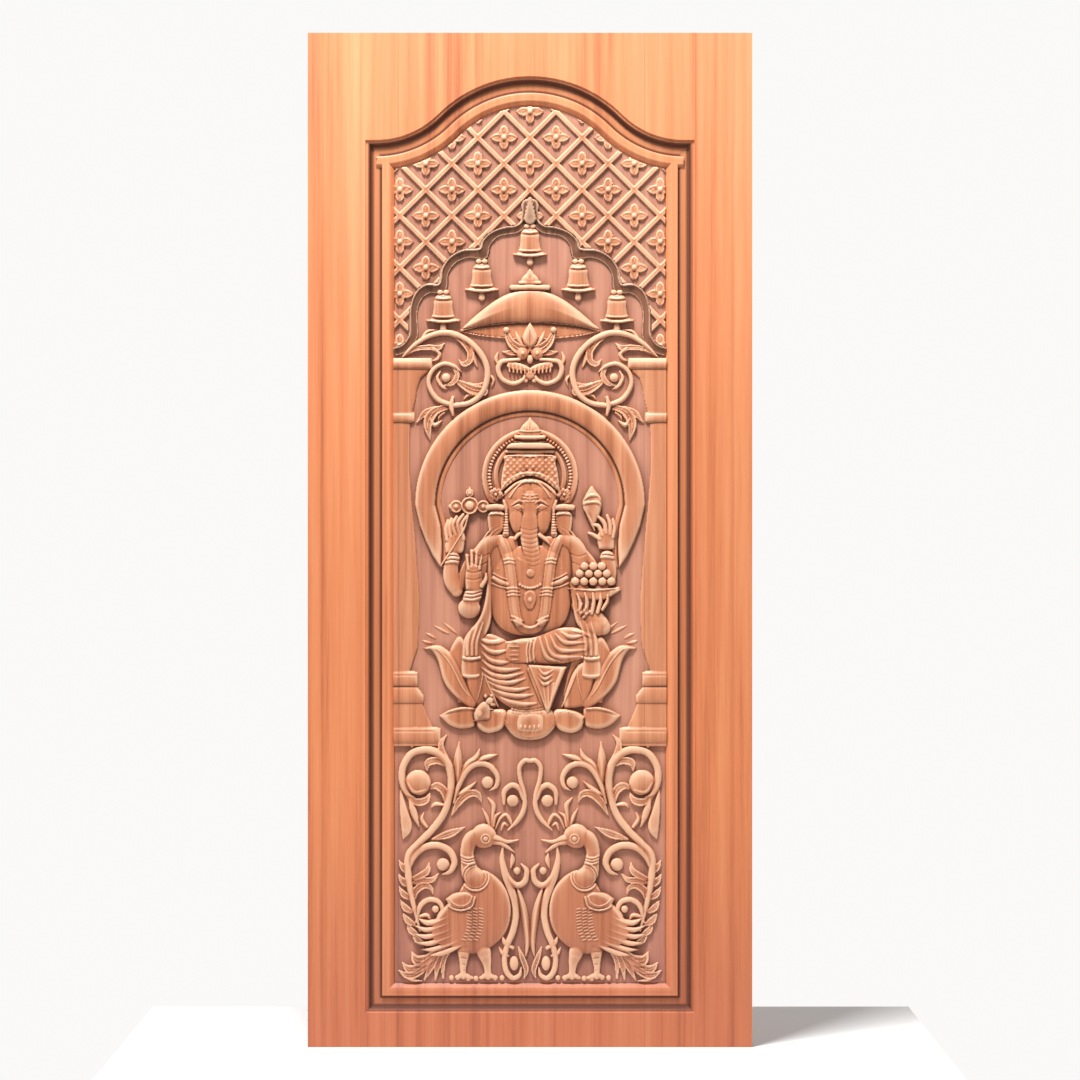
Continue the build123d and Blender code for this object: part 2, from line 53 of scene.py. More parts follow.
# The studio: a plain pale floor under white light all round, weaker from the camera's side, with a
# broad lamp above the front and a weak one to the left, so the hollows fall dark and the upper sides
# of the forms catch the light.
SKY_FADE = (0.3, 0.9)
SKY_STRENGTH = (0.34, 0.96)
LEAF_MIDDLE = (0, 0, 1.1)
FLOOR_HALF = 0.85
world = bpy.data.worlds.new("studio")
bpy.context.scene.world = world
world.use_nodes = True
backdrop = world.node_tree.nodes["Background"]
backdrop.inputs["Color"].default_value = (1.0, 0.99, 0.98, 1)
heading = world.node_tree.nodes.new("ShaderNodeTexCoord")
split = world.node_tree.nodes.new("ShaderNodeSeparateXYZ")
fade = world.node_tree.nodes.new("ShaderNodeMapRange")
world.node_tree.links.new(heading.outputs["Generated"], split.inputs[0])
world.node_tree.links.new(split.outputs["Y"], fade.inputs[0])
world.node_tree.links.new(fade.outputs[0], backdrop.inputs["Strength"])
for socket, value in zip(list(fade.inputs)[1:5], SKY_FADE + SKY_STRENGTH):
    socket.default_value = value
bpy.context.scene.view_settings.view_transform = "Standard"


def lamp(name, place, power, size):
    """A square lamp that looks at the middle of the leaf."""
    light = bpy.data.objects.new(name, bpy.data.lights.new(name, "AREA"))
    light.data.energy = power
    light.data.size = size
    light.location = place
    light.rotation_euler = (Vector(LEAF_MIDDLE) - Vector(place)).to_track_quat("-Z", "Y").to_euler()
    bpy.context.scene.collection.objects.link(light)


lamp("key", (-0.5, -1.7, 5.2), 335, 0.8)
lamp("side", (-3.2, -2.6, 1.8), 26, 1.2)

floor_mesh = bmesh.new()
bmesh.ops.create_grid(floor_mesh, x_segments=4, y_segments=4, size=FLOOR_HALF)
floor_data = bpy.data.meshes.new("floor")
floor_mesh.to_mesh(floor_data)
floor_mesh.free()
floor = bpy.data.objects.new("floor", floor_data)
bpy.context.scene.collection.objects.link(floor)
floor_finish = bpy.data.materials.new("floor_pale")
floor_finish.use_nodes = True
floor_shader = floor_finish.node_tree.nodes["Principled BSDF"]
floor_shader.inputs["Base Color"].default_value = (0.86, 0.86, 0.85, 1)
floor_shader.inputs["Roughness"].default_value = 0.9
floor.data.materials.append(floor_finish)


# The leaf: three boards of reddish hardwood glued edge to edge, with a plain border. A stepped
# moulding is cut round the sunk panel, square at its shoulders and drawn up to a low ogee arch.
# The boards stand on their ends, so the grain runs up the door, and a thin dark line marks each joint.
MM = 0.001
HALF_WIDTH = 460.0
HEIGHT = 2100.0
FRONT = -20.0
BACK = 20.0
GROUND = -4.0
JOINTS = (-273.0, 237.0)
PANEL_HALF = 341.0
PANEL_FOOT = 71.0
SHOULDER = 1878.5
CROWN = 269.0
FOOT = 181.7
# The moulding's section from the border inwards: how far in and how deep each corner lies, and how
# dark it is in painted shade, from 1 in a hollow to -1, a painted highlight, on an edge.
MOULDING = ((0, 0), (0.8, 3.0), (2.6, 4.2), (4.6, 3.3), (6.6, 3.2), (8.8, 4.4), (10.4, 7.0), (11.4, 11.4),
            (13.6, 12.4), (20, 12.0), (28, 12.1), (32.6, 12.6), (34.0, 11.4), (34.6, 7.8), (36.2, 6.8),
            (42, 6.7), (48.6, 6.9), (50.8, 7.5), (53.6, 9.2), (57.4, 13.0), (61.2, 16.4))
MOULDING_PAINTED_SHADE = (0.1, 0.1, 0.3, 0.5, 0.8, 0.9, 1.0, 0.75, 0.25, 0.3, 0.85, 0.9, 0.25, -0.5, -0.3, -0.5, -0.2,
                  0.1, 0.1, 0.6)
SLANT = math.radians(45)


def mirrored(half):
    """A line from one side to the middle line, carried on as its mirror image to the other side."""
    return [*half, *((-x, z) for x, z in reversed(half) if x)]


def panel_outline(inset):
    """The panel's edge moved inwards: its right half, from the foot of the side up to the top."""
    side, shoulder = PANEL_HALF - inset, SHOULDER - inset
    crown, foot = CROWN - inset, FOOT + inset
    start = (crown + foot) * math.sin(SLANT)
    apex = shoulder + (crown + foot) * (1 - math.cos(SLANT))
    points = [(side, PANEL_FOOT + inset), (side, shoulder), (start, shoulder)]
    points += [(start - foot * math.sin(a), shoulder + foot * (1 - math.cos(a)))
               for a in np.linspace(0, SLANT, 13)[1:]]
    points += [(crown * math.sin(a), apex - crown * (1 - math.cos(a))) for a in np.linspace(SLANT, 0, 19)[1:]]
    return points


def ring_of_edges(bm, points, y):
    """A closed line of edges at one depth."""
    corners = [bm.verts.new((x * MM, y * MM, z * MM)) for x, z in points]
    return [bm.edges.new((corners[i], corners[(i + 1) % len(corners)])) for i in range(len(corners))]


class Wire:
    """A material's socket with arithmetic: each operator adds the node that does it."""

    def __init__(self, bench, socket):
        self.bench, self.socket = bench, socket

    def maths(self, operation, first, second):
        return self.bench.node("ShaderNodeMath", {"operation": operation}, {0: first, 1: second})

    def __add__(self, other):
        return self.maths("ADD", self, other)

    def __sub__(self, other):
        return self.maths("SUBTRACT", self, other)

    def __rsub__(self, other):
        return self.maths("SUBTRACT", other, self)

    def __mul__(self, other):
        return self.maths("MULTIPLY", self, other)

    __radd__, __rmul__ = __add__, __mul__


class Bench:
    """A material being mixed: node() adds any node and hands back one of its outputs."""

    def __init__(self, name):
        self.material = bpy.data.materials.new(name)
        self.material.use_nodes = True
        self.tree = self.material.node_tree
        self.shader = self.tree.nodes["Principled BSDF"]

    def node(self, kind, settings=None, inputs=None, output=0):
        made = self.tree.nodes.new(kind)
        for key, value in (settings or {}).items():
            if key == "stops":
                ramp = made.color_ramp.elements
                while len(ramp) < len(value):
                    ramp.new(0.5)
                for stop, (place, colour) in zip(ramp, value):
                    stop.position, stop.color = place, (*colour, 1)
            else:
                setattr(made, key, value)
        for key, value in (inputs or {}).items():
            self.set(made.inputs[key], value)
        return Wire(self, made.outputs[output])

    def set(self, socket, value):
        if isinstance(value, Wire):
            self.tree.links.new(value.socket, socket)
        else:
            socket.default_value = value

    def blend(self, factor, first, second, mode="MIX"):
        """One colour over another by a factor."""
        return self.node("ShaderNodeMix", {"data_type": "RGBA", "blend_type": mode},
                         {0: factor, 6: first, 7: second}, output=2)

    def band(self, value, low, high):
        """Nothing at low and all at high, with a soft change between."""
        return self.node("ShaderNodeMapRange", {"interpolation_type": "SMOOTHSTEP"},
                         {0: value, 1: low, 2: high, 3: 0.0, 4: 1.0})


def tint(red, green, blue):
    """A colour read off in ordinary screen values, made linear."""
    return tuple(((c / 255 + 0.055) / 1.055) ** 2.4 for c in (red, green, blue))


# The dark lines that run up the wood: x, half width and strength of the two glue joints and of four marks
# on the border. The colours multiply the wood's own: painted warm light above, painted shade at the foot.
WOOD_LINES = ((JOINTS[0] * MM, 0.0016, 0.42), (JOINTS[1] * MM, 0.0016, 0.42), (-0.430, 0.006, 0.22),
              (-0.350, 0.005, 0.2), (0.420, 0.006, 0.22), (0.343, 0.0022, 0.24))
LINE_TINT = (0.52, 0.42, 0.40, 1)
TOP_PAINTED_LIGHT = (1.08, 1.34, 1.52, 1)
FOOT_PAINTED_SHADE = (0.62, 0.56, 0.66, 1)


def timber(name, dark, middle, light, painted_shade_colour, crest, gloss):
    """Red hardwood: streaks and pores along the height, painted paler at the top, painted shade in the
    hollows and a painted highlight on crests.
    """
    b = Bench(name)
    place = b.node("ShaderNodeTexCoord", output=3)

    def noise(stretch, detail, roughness, distortion=0.0):
        stretched = b.node("ShaderNodeMapping", {}, {"Vector": place, "Scale": stretch})
        return b.node("ShaderNodeTexNoise", {"noise_dimensions": "3D"}, {
            "Vector": stretched, "Scale": 1.0, "Detail": detail, "Roughness": roughness,
            "Distortion": distortion})

    broad = noise((7.5, 2.0, 0.35), 3.0, 0.6)
    streaks = noise((46, 9.0, 0.9), 5.0, 0.62, 0.15)
    pores = noise((420, 130, 7.0), 3.0, 0.7)
    figure = broad * 0.5 + streaks * 0.62 + pores * 0.2 - 0.16
    wood = b.node("ShaderNodeValToRGB", {"stops": [(0.30, dark), (0.48, middle), (0.70, light)]}, {0: figure})
    height = b.node("ShaderNodeSeparateXYZ", {}, {0: place}, output=2)
    # Painted light: the wood paler and warmer towards the top of the leaf, and painted shade towards its
    # foot.
    wood = b.blend(b.band(height, 1.25, 2.12) * 0.5, wood,
                   b.blend(1.0, wood, TOP_PAINTED_LIGHT, "MULTIPLY"))
    wood = b.blend(b.band(height, 0.66, -0.05) * 0.85, wood,
                   b.blend(1.0, wood, FOOT_PAINTED_SHADE, "MULTIPLY"))
    across = b.node("ShaderNodeSeparateXYZ", {}, {0: place}, output=0)
    for line, width, strength in WOOD_LINES:
        gap = b.node("ShaderNodeMath", {"operation": "ABSOLUTE"}, {0: across - line})
        wood = b.blend(b.band(gap, width, 0.0) * strength, wood, b.blend(1.0, wood, LINE_TINT, "MULTIPLY"))
    # Painted shade: the mesh's shading value darkens the wood towards the shade colour in hollows and on
    # faces turned down. Where the value falls below zero, on raised edges, crest mixes in a pale cream as a
    # painted highlight.
    cut = b.node("ShaderNodeAttribute", {"attribute_name": "hollow"}, output=2)
    wood = b.blend(b.band(cut, 0.0, 0.8) * 0.9, wood, (*painted_shade_colour, 1))
    wood = b.blend(b.band(cut * -1.0, 0.22, 1.0) * crest, wood, (*tint(255, 212, 176), 1))
    b.set(b.shader.inputs["Base Color"], wood)
    b.set(b.shader.inputs["Roughness"], pores * 0.12 + gloss)
    b.shader.inputs["Specular IOR Level"].default_value = 0.42
    relief = b.node("ShaderNodeBump", {}, {"Strength": 0.16, "Distance": 0.0006,
                                           "Height": pores + streaks * 0.5})
    b.set(b.shader.inputs["Normal"], relief)
    return b.material


BORDER_WOOD = timber("border_wood", tint(184, 100, 66), tint(228, 136, 88), tint(243, 158, 108),
                     tint(84, 40, 26), 0.35, 0.42)


def finish_piece(bm, name, material, nodes):
    """Closes a piece's bmesh into an object that stands for those CAD boards."""
    data = bpy.data.meshes.new(name)
    bm.to_mesh(data)
    bm.free()
    piece = bpy.data.objects.new(name, data)
    bpy.context.scene.collection.objects.link(piece)
    data.materials.append(material)
    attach(piece, "root")
    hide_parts(*nodes)


shell = bmesh.new()
panel_edge = ring_of_edges(shell, mirrored(panel_outline(0)), FRONT)
border_edge = [(-HALF_WIDTH, 0), (HALF_WIDTH, 0), (HALF_WIDTH, HEIGHT), (-HALF_WIDTH, HEIGHT)]
border = ring_of_edges(shell, border_edge, FRONT)
back_edges = [g for g in bmesh.ops.extrude_edge_only(shell, edges=border)["geom"]
              if isinstance(g, bmesh.types.BMEdge)]
back_corners = {v for e in back_edges for v in e.verts}
for corner in back_corners:
    corner.co.y = BACK * MM
bmesh.ops.triangle_fill(shell, edges=[e for e in shell.edges if all(v in back_corners for v in e.verts)])
# The moulding's corners get painted shade in the hollows and a painted highlight on the edges.
hollow = shell.verts.layers.float.new("hollow")
bmesh.ops.triangle_fill(shell, edges=panel_edge + border)
previous = panel_edge
for (old_inset, _), (inset, depth), shade in zip(MOULDING, MOULDING[1:], MOULDING_PAINTED_SHADE):
    made = bmesh.ops.extrude_edge_only(shell, edges=previous)["geom"]
    fresh = {g for g in made if isinstance(g, bmesh.types.BMVert)}
    old, new = mirrored(panel_outline(old_inset)), mirrored(panel_outline(inset))
    for vertex in fresh:
        x, z = vertex.co.x / MM, vertex.co.z / MM
        near = min(range(len(old)), key=lambda i: (old[i][0] - x) ** 2 + (old[i][1] - z) ** 2)
        vertex.co = (new[near][0] * MM, (FRONT + depth) * MM, new[near][1] * MM)
        vertex[hollow] = shade
    previous = [g for g in made if isinstance(g, bmesh.types.BMEdge) and all(v in fresh for v in g.verts)]
bmesh.ops.triangle_fill(shell, edges=previous)
bmesh.ops.recalc_face_normals(shell, faces=shell.faces)

for side, low, high in (("left", None, JOINTS[0]), ("middle", *JOINTS), ("right", JOINTS[1], None)):
    board = shell.copy()
    for joint, outwards in ((low, -1), (high, 1)):
        if joint is not None:
            cut = bmesh.ops.bisect_plane(board, geom=board.verts[:] + board.edges[:] + board.faces[:],
                                         plane_co=(joint * MM, 0, 0), plane_no=(outwards, 0, 0),
                                         clear_outer=True)["geom_cut"]
            bmesh.ops.triangle_fill(board, edges=[g for g in cut if isinstance(g, bmesh.types.BMEdge)])
    bmesh.ops.recalc_face_normals(board, faces=board.faces)
    finish_piece(board, side + "_plank", BORDER_WOOD, [side + "_board"])
shell.free()


# The lattice over the arch: square bars crossed on the slant, a four-petalled flower with a knob in
# each diamond. Like all the carving it stands in the boards, cut back to the same ground with gouges,
# so each piece of it is laid out here as heights over that ground and cut off where the ground begins.
SUNK = -3.0            # how far a piece goes down into the board, under the ground
REAR = GROUND - SUNK + 0.4
TOP = GROUND - FRONT - 0.05
WALL_SLOPE = 3.0       # height gained for each millimetre in from the edge of a form
STEP_SLOPE = 2.0       # the same for a mark on top of a form
NARROWEST = 0.25       # the least half width of a stem's tip
SCORE_FLOOR = 0.5      # a cut line stops this far above the ground
FINE_REACH = 2.4       # how far round a point the finest hollows are looked for
FAR = 1e9
ALL = np.s_[:, :]
carved = []


def spline(points, steps=8):
    """A smooth line through points of any length: each row is a place with its widths."""
    p = np.array(points, float)
    if len(p) < 3:
        t = np.linspace(0, 1, steps + 1)[:, None]
        return p[0] * (1 - t) + p[-1] * t
    ends = np.vstack([2 * p[0] - p[1], p, 2 * p[-1] - p[-2]])
    t = np.linspace(0, 1, steps, endpoint=False)[:, None]
    runs = []
    for a, b, c, d in zip(ends, ends[1:], ends[2:], ends[3:]):
        runs.append(0.5 * (2 * b + (c - a) * t + (2 * a - 5 * b + 4 * c - d) * t ** 2
                           + (3 * b - a - 3 * c + d) * t ** 3))
    return np.vstack(runs + [p[-1:]])


class Relief:
    """A stretch of carving as heights in millimetres over the ground, on a square grid of points."""

    def __init__(self, x0, x1, z0, z1, cell=1.6):
        self.columns, self.rows = round((x1 - x0) / cell), round((z1 - z0) / cell)
        self.x = np.linspace(x0, x1, self.columns + 1)
        self.z = np.linspace(z0, z1, self.rows + 1)
        self.h = np.full((self.rows + 1, self.columns + 1), SUNK)

    def patch(self, x0, x1, z0, z1):
        """The rows and columns of points in a rectangle, and their places."""
        i0, i1 = np.searchsorted(self.x, (x0, x1))
        k0, k1 = np.searchsorted(self.z, (z0, z1))
        return (slice(k0, k1), slice(i0, i1)), self.x[None, i0:i1], self.z[k0:k1, None]

    def patch_round(self, line, reach):
        """The same for the rectangle round a line."""
        return self.patch(line[:, 0].min() - reach, line[:, 0].max() + reach,
                          line[:, 1].min() - reach, line[:, 1].max() + reach)

    def lay(self, area, inside, crown, lift, on=False):
        """Raises what lies inside an edge: a steep wall up to lift and a crown on top of it, either
        from the ground or on the carving that is there already."""
        here = self.h[area]
        if on:
            raised = here + np.clip(inside * STEP_SLOPE, 0, lift) + crown
            self.h[area] = np.where((inside > 0) & (here > 0), raised, here)
        else:
            wall = np.clip(inside * WALL_SLOPE, SUNK, lift)
            self.h[area] = np.maximum(here, wall + np.where(inside > 0, crown, 0))

    def stem(self, points, widths, rise, lift=2.0, form="round", on=False):
        """A stem, leaf, band or finger along a line, with its half width and its section's form."""
        if np.ndim(widths) == 0:
            widths = [widths] * len(points)
        line = spline([(*p, w) for p, w in zip(points, widths)])
        line[:, 2] = np.maximum(line[:, 2], NARROWEST)
        area, x, z = self.patch_round(line, line[:, 2].max() + 2)
        best = np.full((z.size, x.size), -FAR)
        share, side, width = np.zeros_like(best), np.zeros_like(best), np.ones_like(best)
        for a, b in zip(line, line[1:]):
            t, gap = beside(x, z, a, b)
            w = a[2] + (b[2] - a[2]) * t
            nearer = w - gap > best
            best = np.where(nearer, w - gap, best)
            width = np.where(nearer, w, width)
            share = np.where(nearer, gap / w, share)
            turn = np.sign((x - a[0]) * (b[1] - a[1]) - (z - a[1]) * (b[0] - a[0]))
            side = np.where(nearer, turn, side)
        u = np.clip(share, 0, 1)
        full = np.minimum(1, width / max(line[:, 2].max(), 1) + 0.15)
        crown = {
            "round": np.sqrt(np.maximum(0, 1 - u ** 2)),
            "ridge": 1 - u ** 1.3,
            "leaf": 0.35 + 0.65 * np.abs(u - 0.12) ** 0.9 * (u < 0.93) + 0.3 * (u < 0.12),
            "fold": 0.55 + 0.45 * np.cos(u * side * 7.0),
            "lean": 0.5 + 0.5 * u * side,
            "flat": np.clip(best / 2.0, 0, 1),
        }[form]
        self.lay(area, best, crown * rise * full, lift, on)

    def mark(self, points, widths, rise, step, form="round"):
        """A thin ridge, bead line or band on top of the carving that is there already."""
        self.stem(points, widths, rise, step, form, on=True)

    def dome(self, x, z, half_x, half_z, rise, lift=1.5, turn=0.0, on=False):
        """A rounded boss with an oval outline, turned if need be."""
        reach = max(half_x, half_z) + 3
        area, xs, zs = self.patch(x - reach, x + reach, z - reach, z + reach)
        dx, dz = xs - x, zs - z
        c, s = math.cos(math.radians(turn)), math.sin(math.radians(turn))
        u = np.hypot((dx * c + dz * s) / half_x, (dz * c - dx * s) / half_z)
        inside = (1 - u) * min(half_x, half_z)
        self.lay(area, inside, np.sqrt(np.maximum(0, 1 - u ** 2)) * rise, lift, on)

    def hoop(self, x, z, radius, half, rise, lift=1.5, low=0.0, form="round", on=False):
        """A ring or a part of one above a level."""
        reach = radius + half + 3
        area, xs, zs = self.patch(x - reach, x + reach, max(z - reach, low), z + reach)
        u = np.abs(np.hypot(xs - x, zs - z) - radius) / half
        crown = np.sqrt(np.maximum(0, 1 - u ** 2)) if form == "round" else np.clip((1 - u) * half / 2, 0, 1)
        self.lay(area, (1 - u) * half, crown * rise, lift, on)

    def plate(self, outline, rise, lift=2.0, soft=6.0, smooth=True, on=False):
        """A form with a drawn outline, rounded over a margin inside its edge."""
        closed = [*outline, outline[0]]
        edge = spline(closed, 6) if smooth else np.array(closed, float)
        area, x, z = self.patch_round(edge, 2)
        gap = np.full((z.size, x.size), FAR)
        within = np.zeros((z.size, x.size), bool)
        for a, b in zip(edge, edge[1:]):
            gap = np.minimum(gap, beside(x, z, a, b)[1])
            if a[1] != b[1]:
                crossing = (b[0] - a[0]) * (z - a[1]) / (b[1] - a[1]) + a[0]
                within ^= ((a[1] > z) != (b[1] > z)) & (x < crossing)
        inside = np.where(within, gap, -gap)
        u = np.clip(inside / soft, 0, 1)
        self.lay(area, inside, np.sqrt(np.maximum(0, 1 - (1 - u) ** 2)) * rise, lift, on)

    def score(self, points, half, depth):
        """A cut line: takes wood away along a line, never below the ground."""
        line = spline(points)
        area, x, z = self.patch_round(line, half)
        gap = np.full((z.size, x.size), FAR)
        for a, b in zip(line, line[1:]):
            gap = np.minimum(gap, beside(x, z, a, b)[1])
        cut = depth * np.clip(1 - gap / half, 0, 1)
        here = self.h[area]
        self.h[area] = np.where(here > SCORE_FLOOR, np.maximum(here - cut, SCORE_FLOOR), here)

    def mirror(self):
        """The same carving turned over to the right of the middle line."""
        self.h = np.maximum(self.h, self.h[:, ::-1])

    def carve(self, name, material, nodes, shade_reach=7.0, shadow=None, region=None):
        """Makes the piece: the grid moved to its heights, cut off below the ground and closed."""
        self.h = np.clip(self.h, SUNK, TOP)
        open_air = np.clip(self.h, 0, None)
        # Painted shade and painted highlight for each point, worked out from the heights unless given.
        hollow = hollows(open_air, self.x[1] - self.x[0], self.z, shade_reach) if shadow is None else shadow
        carved.append((self.x, self.z, open_air))
        keep = unpinched(soften((self.h > SUNK + 0.05).astype(float), 1) > 0.01 if region is None else region)
        bm = bmesh.new()
        bmesh.ops.create_grid(bm, x_segments=self.columns, y_segments=self.rows, size=1.0)
        shade = bm.verts.layers.float.new("hollow")
        bm.verts.ensure_lookup_table()
        places = np.empty((self.rows + 1, self.columns + 1, 3))
        places[..., 0] = self.x[None, :] * MM
        places[..., 1] = (GROUND - self.h) * MM
        places[..., 2] = self.z[:, None] * MM
        doomed = []
        for vertex, place, dark, kept in zip(bm.verts, places.reshape(-1, 3).tolist(),
                                             hollow.ravel().tolist(), keep.ravel().tolist()):
            vertex.co = place
            vertex[shade] = dark
            if not kept:
                doomed.append(vertex)
        bmesh.ops.delete(bm, geom=doomed, context="VERTS")
        loose = [v for v in bm.verts if not v.link_faces]
        bmesh.ops.delete(bm, geom=loose, context="VERTS")
        front = bm.faces[:]
        for face in front:
            face.smooth = True
        bmesh.ops.reverse_faces(bm, faces=[f for f in front if f.normal.y > 0])
        rim = bmesh.ops.extrude_edge_only(bm, edges=[e for e in bm.edges if e.is_boundary])["geom"]
        for corner in (g for g in rim if isinstance(g, bmesh.types.BMVert)):
            corner.co.y = REAR * MM
        bmesh.ops.triangle_fill(bm, use_beauty=False, edges=[e for e in bm.edges if e.is_boundary])
        bmesh.ops.recalc_face_normals(bm, faces=bm.faces)
        bm.normal_update()
        # The recalculation may turn a whole block inside out; its linked faces are then turned back.
        wrong = [f for f in front if f.normal.y > 0]
        if wrong:
            whole = set(wrong)
            fresh = wrong
            while fresh:
                fresh = list({g for f in fresh for e in f.edges for g in e.link_faces} - whole)
                whole.update(fresh)
            bmesh.ops.reverse_faces(bm, faces=list(whole))
        finish_piece(bm, name, material, nodes)


def beside(x, z, a, b):
    """How far along the run from a to b each point lies, and its distance from the run."""
    run = b[:2] - a[:2]
    t = np.clip(((x - a[0]) * run[0] + (z - a[1]) * run[1]) / max(run @ run, 1e-6), 0, 1)
    return t, np.hypot(x - a[0] - run[0] * t, z - a[1] - run[1] * t)


def hollows(heights, cell, z, reach):
    """Painted shade for each point: darker as it lies below its neighbours, near and far, or faces down away
    from the light above, and a little paler the higher it stands; 1 is the darkest painted shade, below 0 a
    painted highlight.
    """
    shade = 0
    for r, depth in ((reach, 5.0), (FINE_REACH, 2.2), (3 * reach, 16)):
        shade = shade + (soften(heights, max(1, round(r / cell))) - heights) / depth
    # Painted shade on faces turned down, away from the light above.
    facing_down = np.gradient(soften(heights, 1), z, axis=0)
    return np.clip(shade + 0.75 * facing_down + 0.01 * (4.0 - heights), -1, 1)


def unpinched(keep):
    """Widens a piece wherever two of its parts would touch in a single point."""
    while True:
        face = keep[1:, 1:] & keep[1:, :-1] & keep[:-1, 1:] & keep[:-1, :-1]
        a, b, c, d = face[:-1, :-1], face[:-1, 1:], face[1:, :-1], face[1:, 1:]
        pinch = (a & d & ~b & ~c) | (b & c & ~a & ~d)
        if not pinch.any():
            return keep
        spots = np.zeros(keep.shape)
        spots[1:-1, 1:-1] = pinch
        keep = keep | (soften(spots, 1) > 0.001)


def soften(heights, reach):
    """The heights averaged over a square, twice, for how deep each point lies among its neighbours."""
    for axis in (0, 1, 0, 1):
        padded = np.concatenate([np.repeat(np.take(heights, [0], axis), reach, axis), heights,
                                 np.repeat(np.take(heights, [-1], axis), reach, axis)], axis)
        total = np.cumsum(padded, axis)
        total = np.concatenate([np.zeros_like(np.take(total, [0], axis)), total], axis)
        count = heights.shape[axis]
        heights = (np.take(total, range(2 * reach + 1, 2 * reach + 1 + count), axis)
                   - np.take(total, range(count), axis)) / (2 * reach + 1)
    return heights


CARVED_WOOD = timber("carved_wood", tint(150, 86, 56), tint(204, 128, 89), tint(238, 166, 124),
                     tint(84, 40, 24), 0.6, 0.34)
BOARDS = ("middle_board", "right_board")
NET = 54.0             # half of a diamond of the lattice, across and up
NET_TOP = 1884.0
BAR_HALF = 6.2
MARGIN = 5             # how far the lattice's own ground runs on under the arch and the moulding


def arch_edge(outer):
    """The left half of the cusped arch's outer or inner edge, from its foot up to the spike."""
    if outer:
        lobes = (((-280, 1450), (-262, 1458), (-251, 1478)), ((-251, 1478), (-238, 1562), (-189, 1582)),
                 ((-189, 1582), (-165, 1638), (-105, 1655)), ((-105, 1655), (-87, 1684), (-48, 1700)),
                 ((-48, 1700), (-20, 1708), (-10, 1735)), ((-10, 1735), (-8, 1746), (-7, 1757)))
    else:
        lobes = (((-280, 1433), (-250, 1446), (-233, 1478)), ((-233, 1478), (-226, 1548), (-177, 1563)),
                 ((-177, 1563), (-155, 1624), (-92, 1634)), ((-92, 1634), (-76, 1671), (-45, 1684)),
                 ((-45, 1684), (-18, 1692), (-4, 1715)), ((-4, 1715), (-2, 1722), (0, 1728)))
    points = []
    for a, m, b in lobes:
        a, m, b = (np.array(p, float) for p in (a, m, b))
        control = 2 * m - (a + b) / 2
        for t in np.linspace(0, 1, 9)[:-1]:
            points.append(tuple(a * (1 - t) ** 2 + 2 * control * t * (1 - t) + b * t ** 2))
    return points + [lobes[-1][2]]


def below_arch(x, z):
    """True where a point lies under the arch's outer edge."""
    left = np.array(arch_edge(True))
    order = np.maximum.accumulate(left[:, 0] + np.arange(len(left)) * 1e-6)
    return z < np.interp(-np.abs(x), order, left[:, 1])


def ray(x, z, degrees, *reaches):
    """Points at some distances from a middle, all in one direction."""
    a = math.radians(degrees)
    return [(x + r * math.cos(a), z + r * math.sin(a)) for r in reaches]


lattice = Relief(-281, 281, 1440, 1952, 1.9)
x, z = lattice.x[None, :], lattice.z[:, None]
pitch = NET * math.sqrt(2)
bar_u, bar_v = (np.abs((w / math.sqrt(2) + pitch / 2) % pitch - pitch / 2)
                for w in (x + z - NET_TOP, x - z + NET_TOP))
bar = np.minimum(bar_u, bar_v)
inside = BAR_HALF - bar
groove = 0.7 * np.exp(-(bar / 1.3) ** 2)
lattice.lay(ALL, inside, np.clip(inside / 2.2, 0, 1) * 2.8 - groove, 2.8)
for column in range(-6, 7):
    for row in range(-9, 3):
        if (column + row) % 2:
            cx, cz = column * NET, NET_TOP + row * NET
            for k in range(4):
                tip = 29 if k % 2 == 0 else 25
                lattice.stem(ray(cx, cz, 90 * k, 6, 14, tip), [4.5, 9.6, 0.8], 4.0, 1.5, "leaf")
                lattice.stem(ray(cx, cz, 90 * k + 45, 5, 17), [2.6, 1.6], 1.8, 1.0, "ridge")
            lattice.dome(cx, cz, 6.2, 6.2, 4.2, 3.2)
lattice.h[below_arch(x, z)] = SUNK
rim_line = [p for p in reversed(panel_outline(MOULDING[-1][0] + 1)) if p[1] > 1500]
rim_top = np.interp(np.abs(x), *zip(*rim_line))
lattice.h[z > rim_top] = SUNK
lattice.carve("lattice", CARVED_WOOD, BOARDS, region=~below_arch(x, z + MARGIN) & (z < rim_top + MARGIN))


# The cusped arch: a band with three lobes a side and a spike, its outer edge a thin raised lip and
# its inner side hollowed down towards the ground, left standing when the ground was cut away.
arch = Relief(-283, 283, 1425, 1762, 1.6)
outer, inner = arch_edge(True), arch_edge(False)
middle = [((a[0] + b[0]) / 2, (a[1] + b[1]) / 2) for a, b in zip(outer, inner)]
half = [math.hypot(a[0] - b[0], a[1] - b[1]) / 2 for a, b in zip(outer, inner)]
arch.stem(middle[::-2], [max(h, 3.5) for h in half[::-2]], 4.6, 2.2, "lean")
lip = [(a[0] * 0.88 + b[0] * 0.12, a[1] * 0.88 + b[1] * 0.12) for a, b in zip(outer, inner)]
arch.stem(lip[::2], 2.3, 2.2, 7.6)
arch.stem(inner[::2], 1.8, 0.8, 3.2)
arch.stem([(0, 1716), (0, 1738), (0, 1757)], [14, 9, 5], 3.2, 7.2)
arch.mirror()
# The arch is painted in a much darker copy of the carved wood: painted shade for the shadow its band lies in
# under the light from above.
ARCH_PAINTED_SHADE_WOOD = timber("arch_wood_painted_shade", tint(92, 56, 40), tint(126, 80, 58), tint(156, 100, 74), tint(48, 22, 13),
                   0.45, 0.4)
arch.carve("cusped_arch", ARCH_PAINTED_SHADE_WOOD, BOARDS)


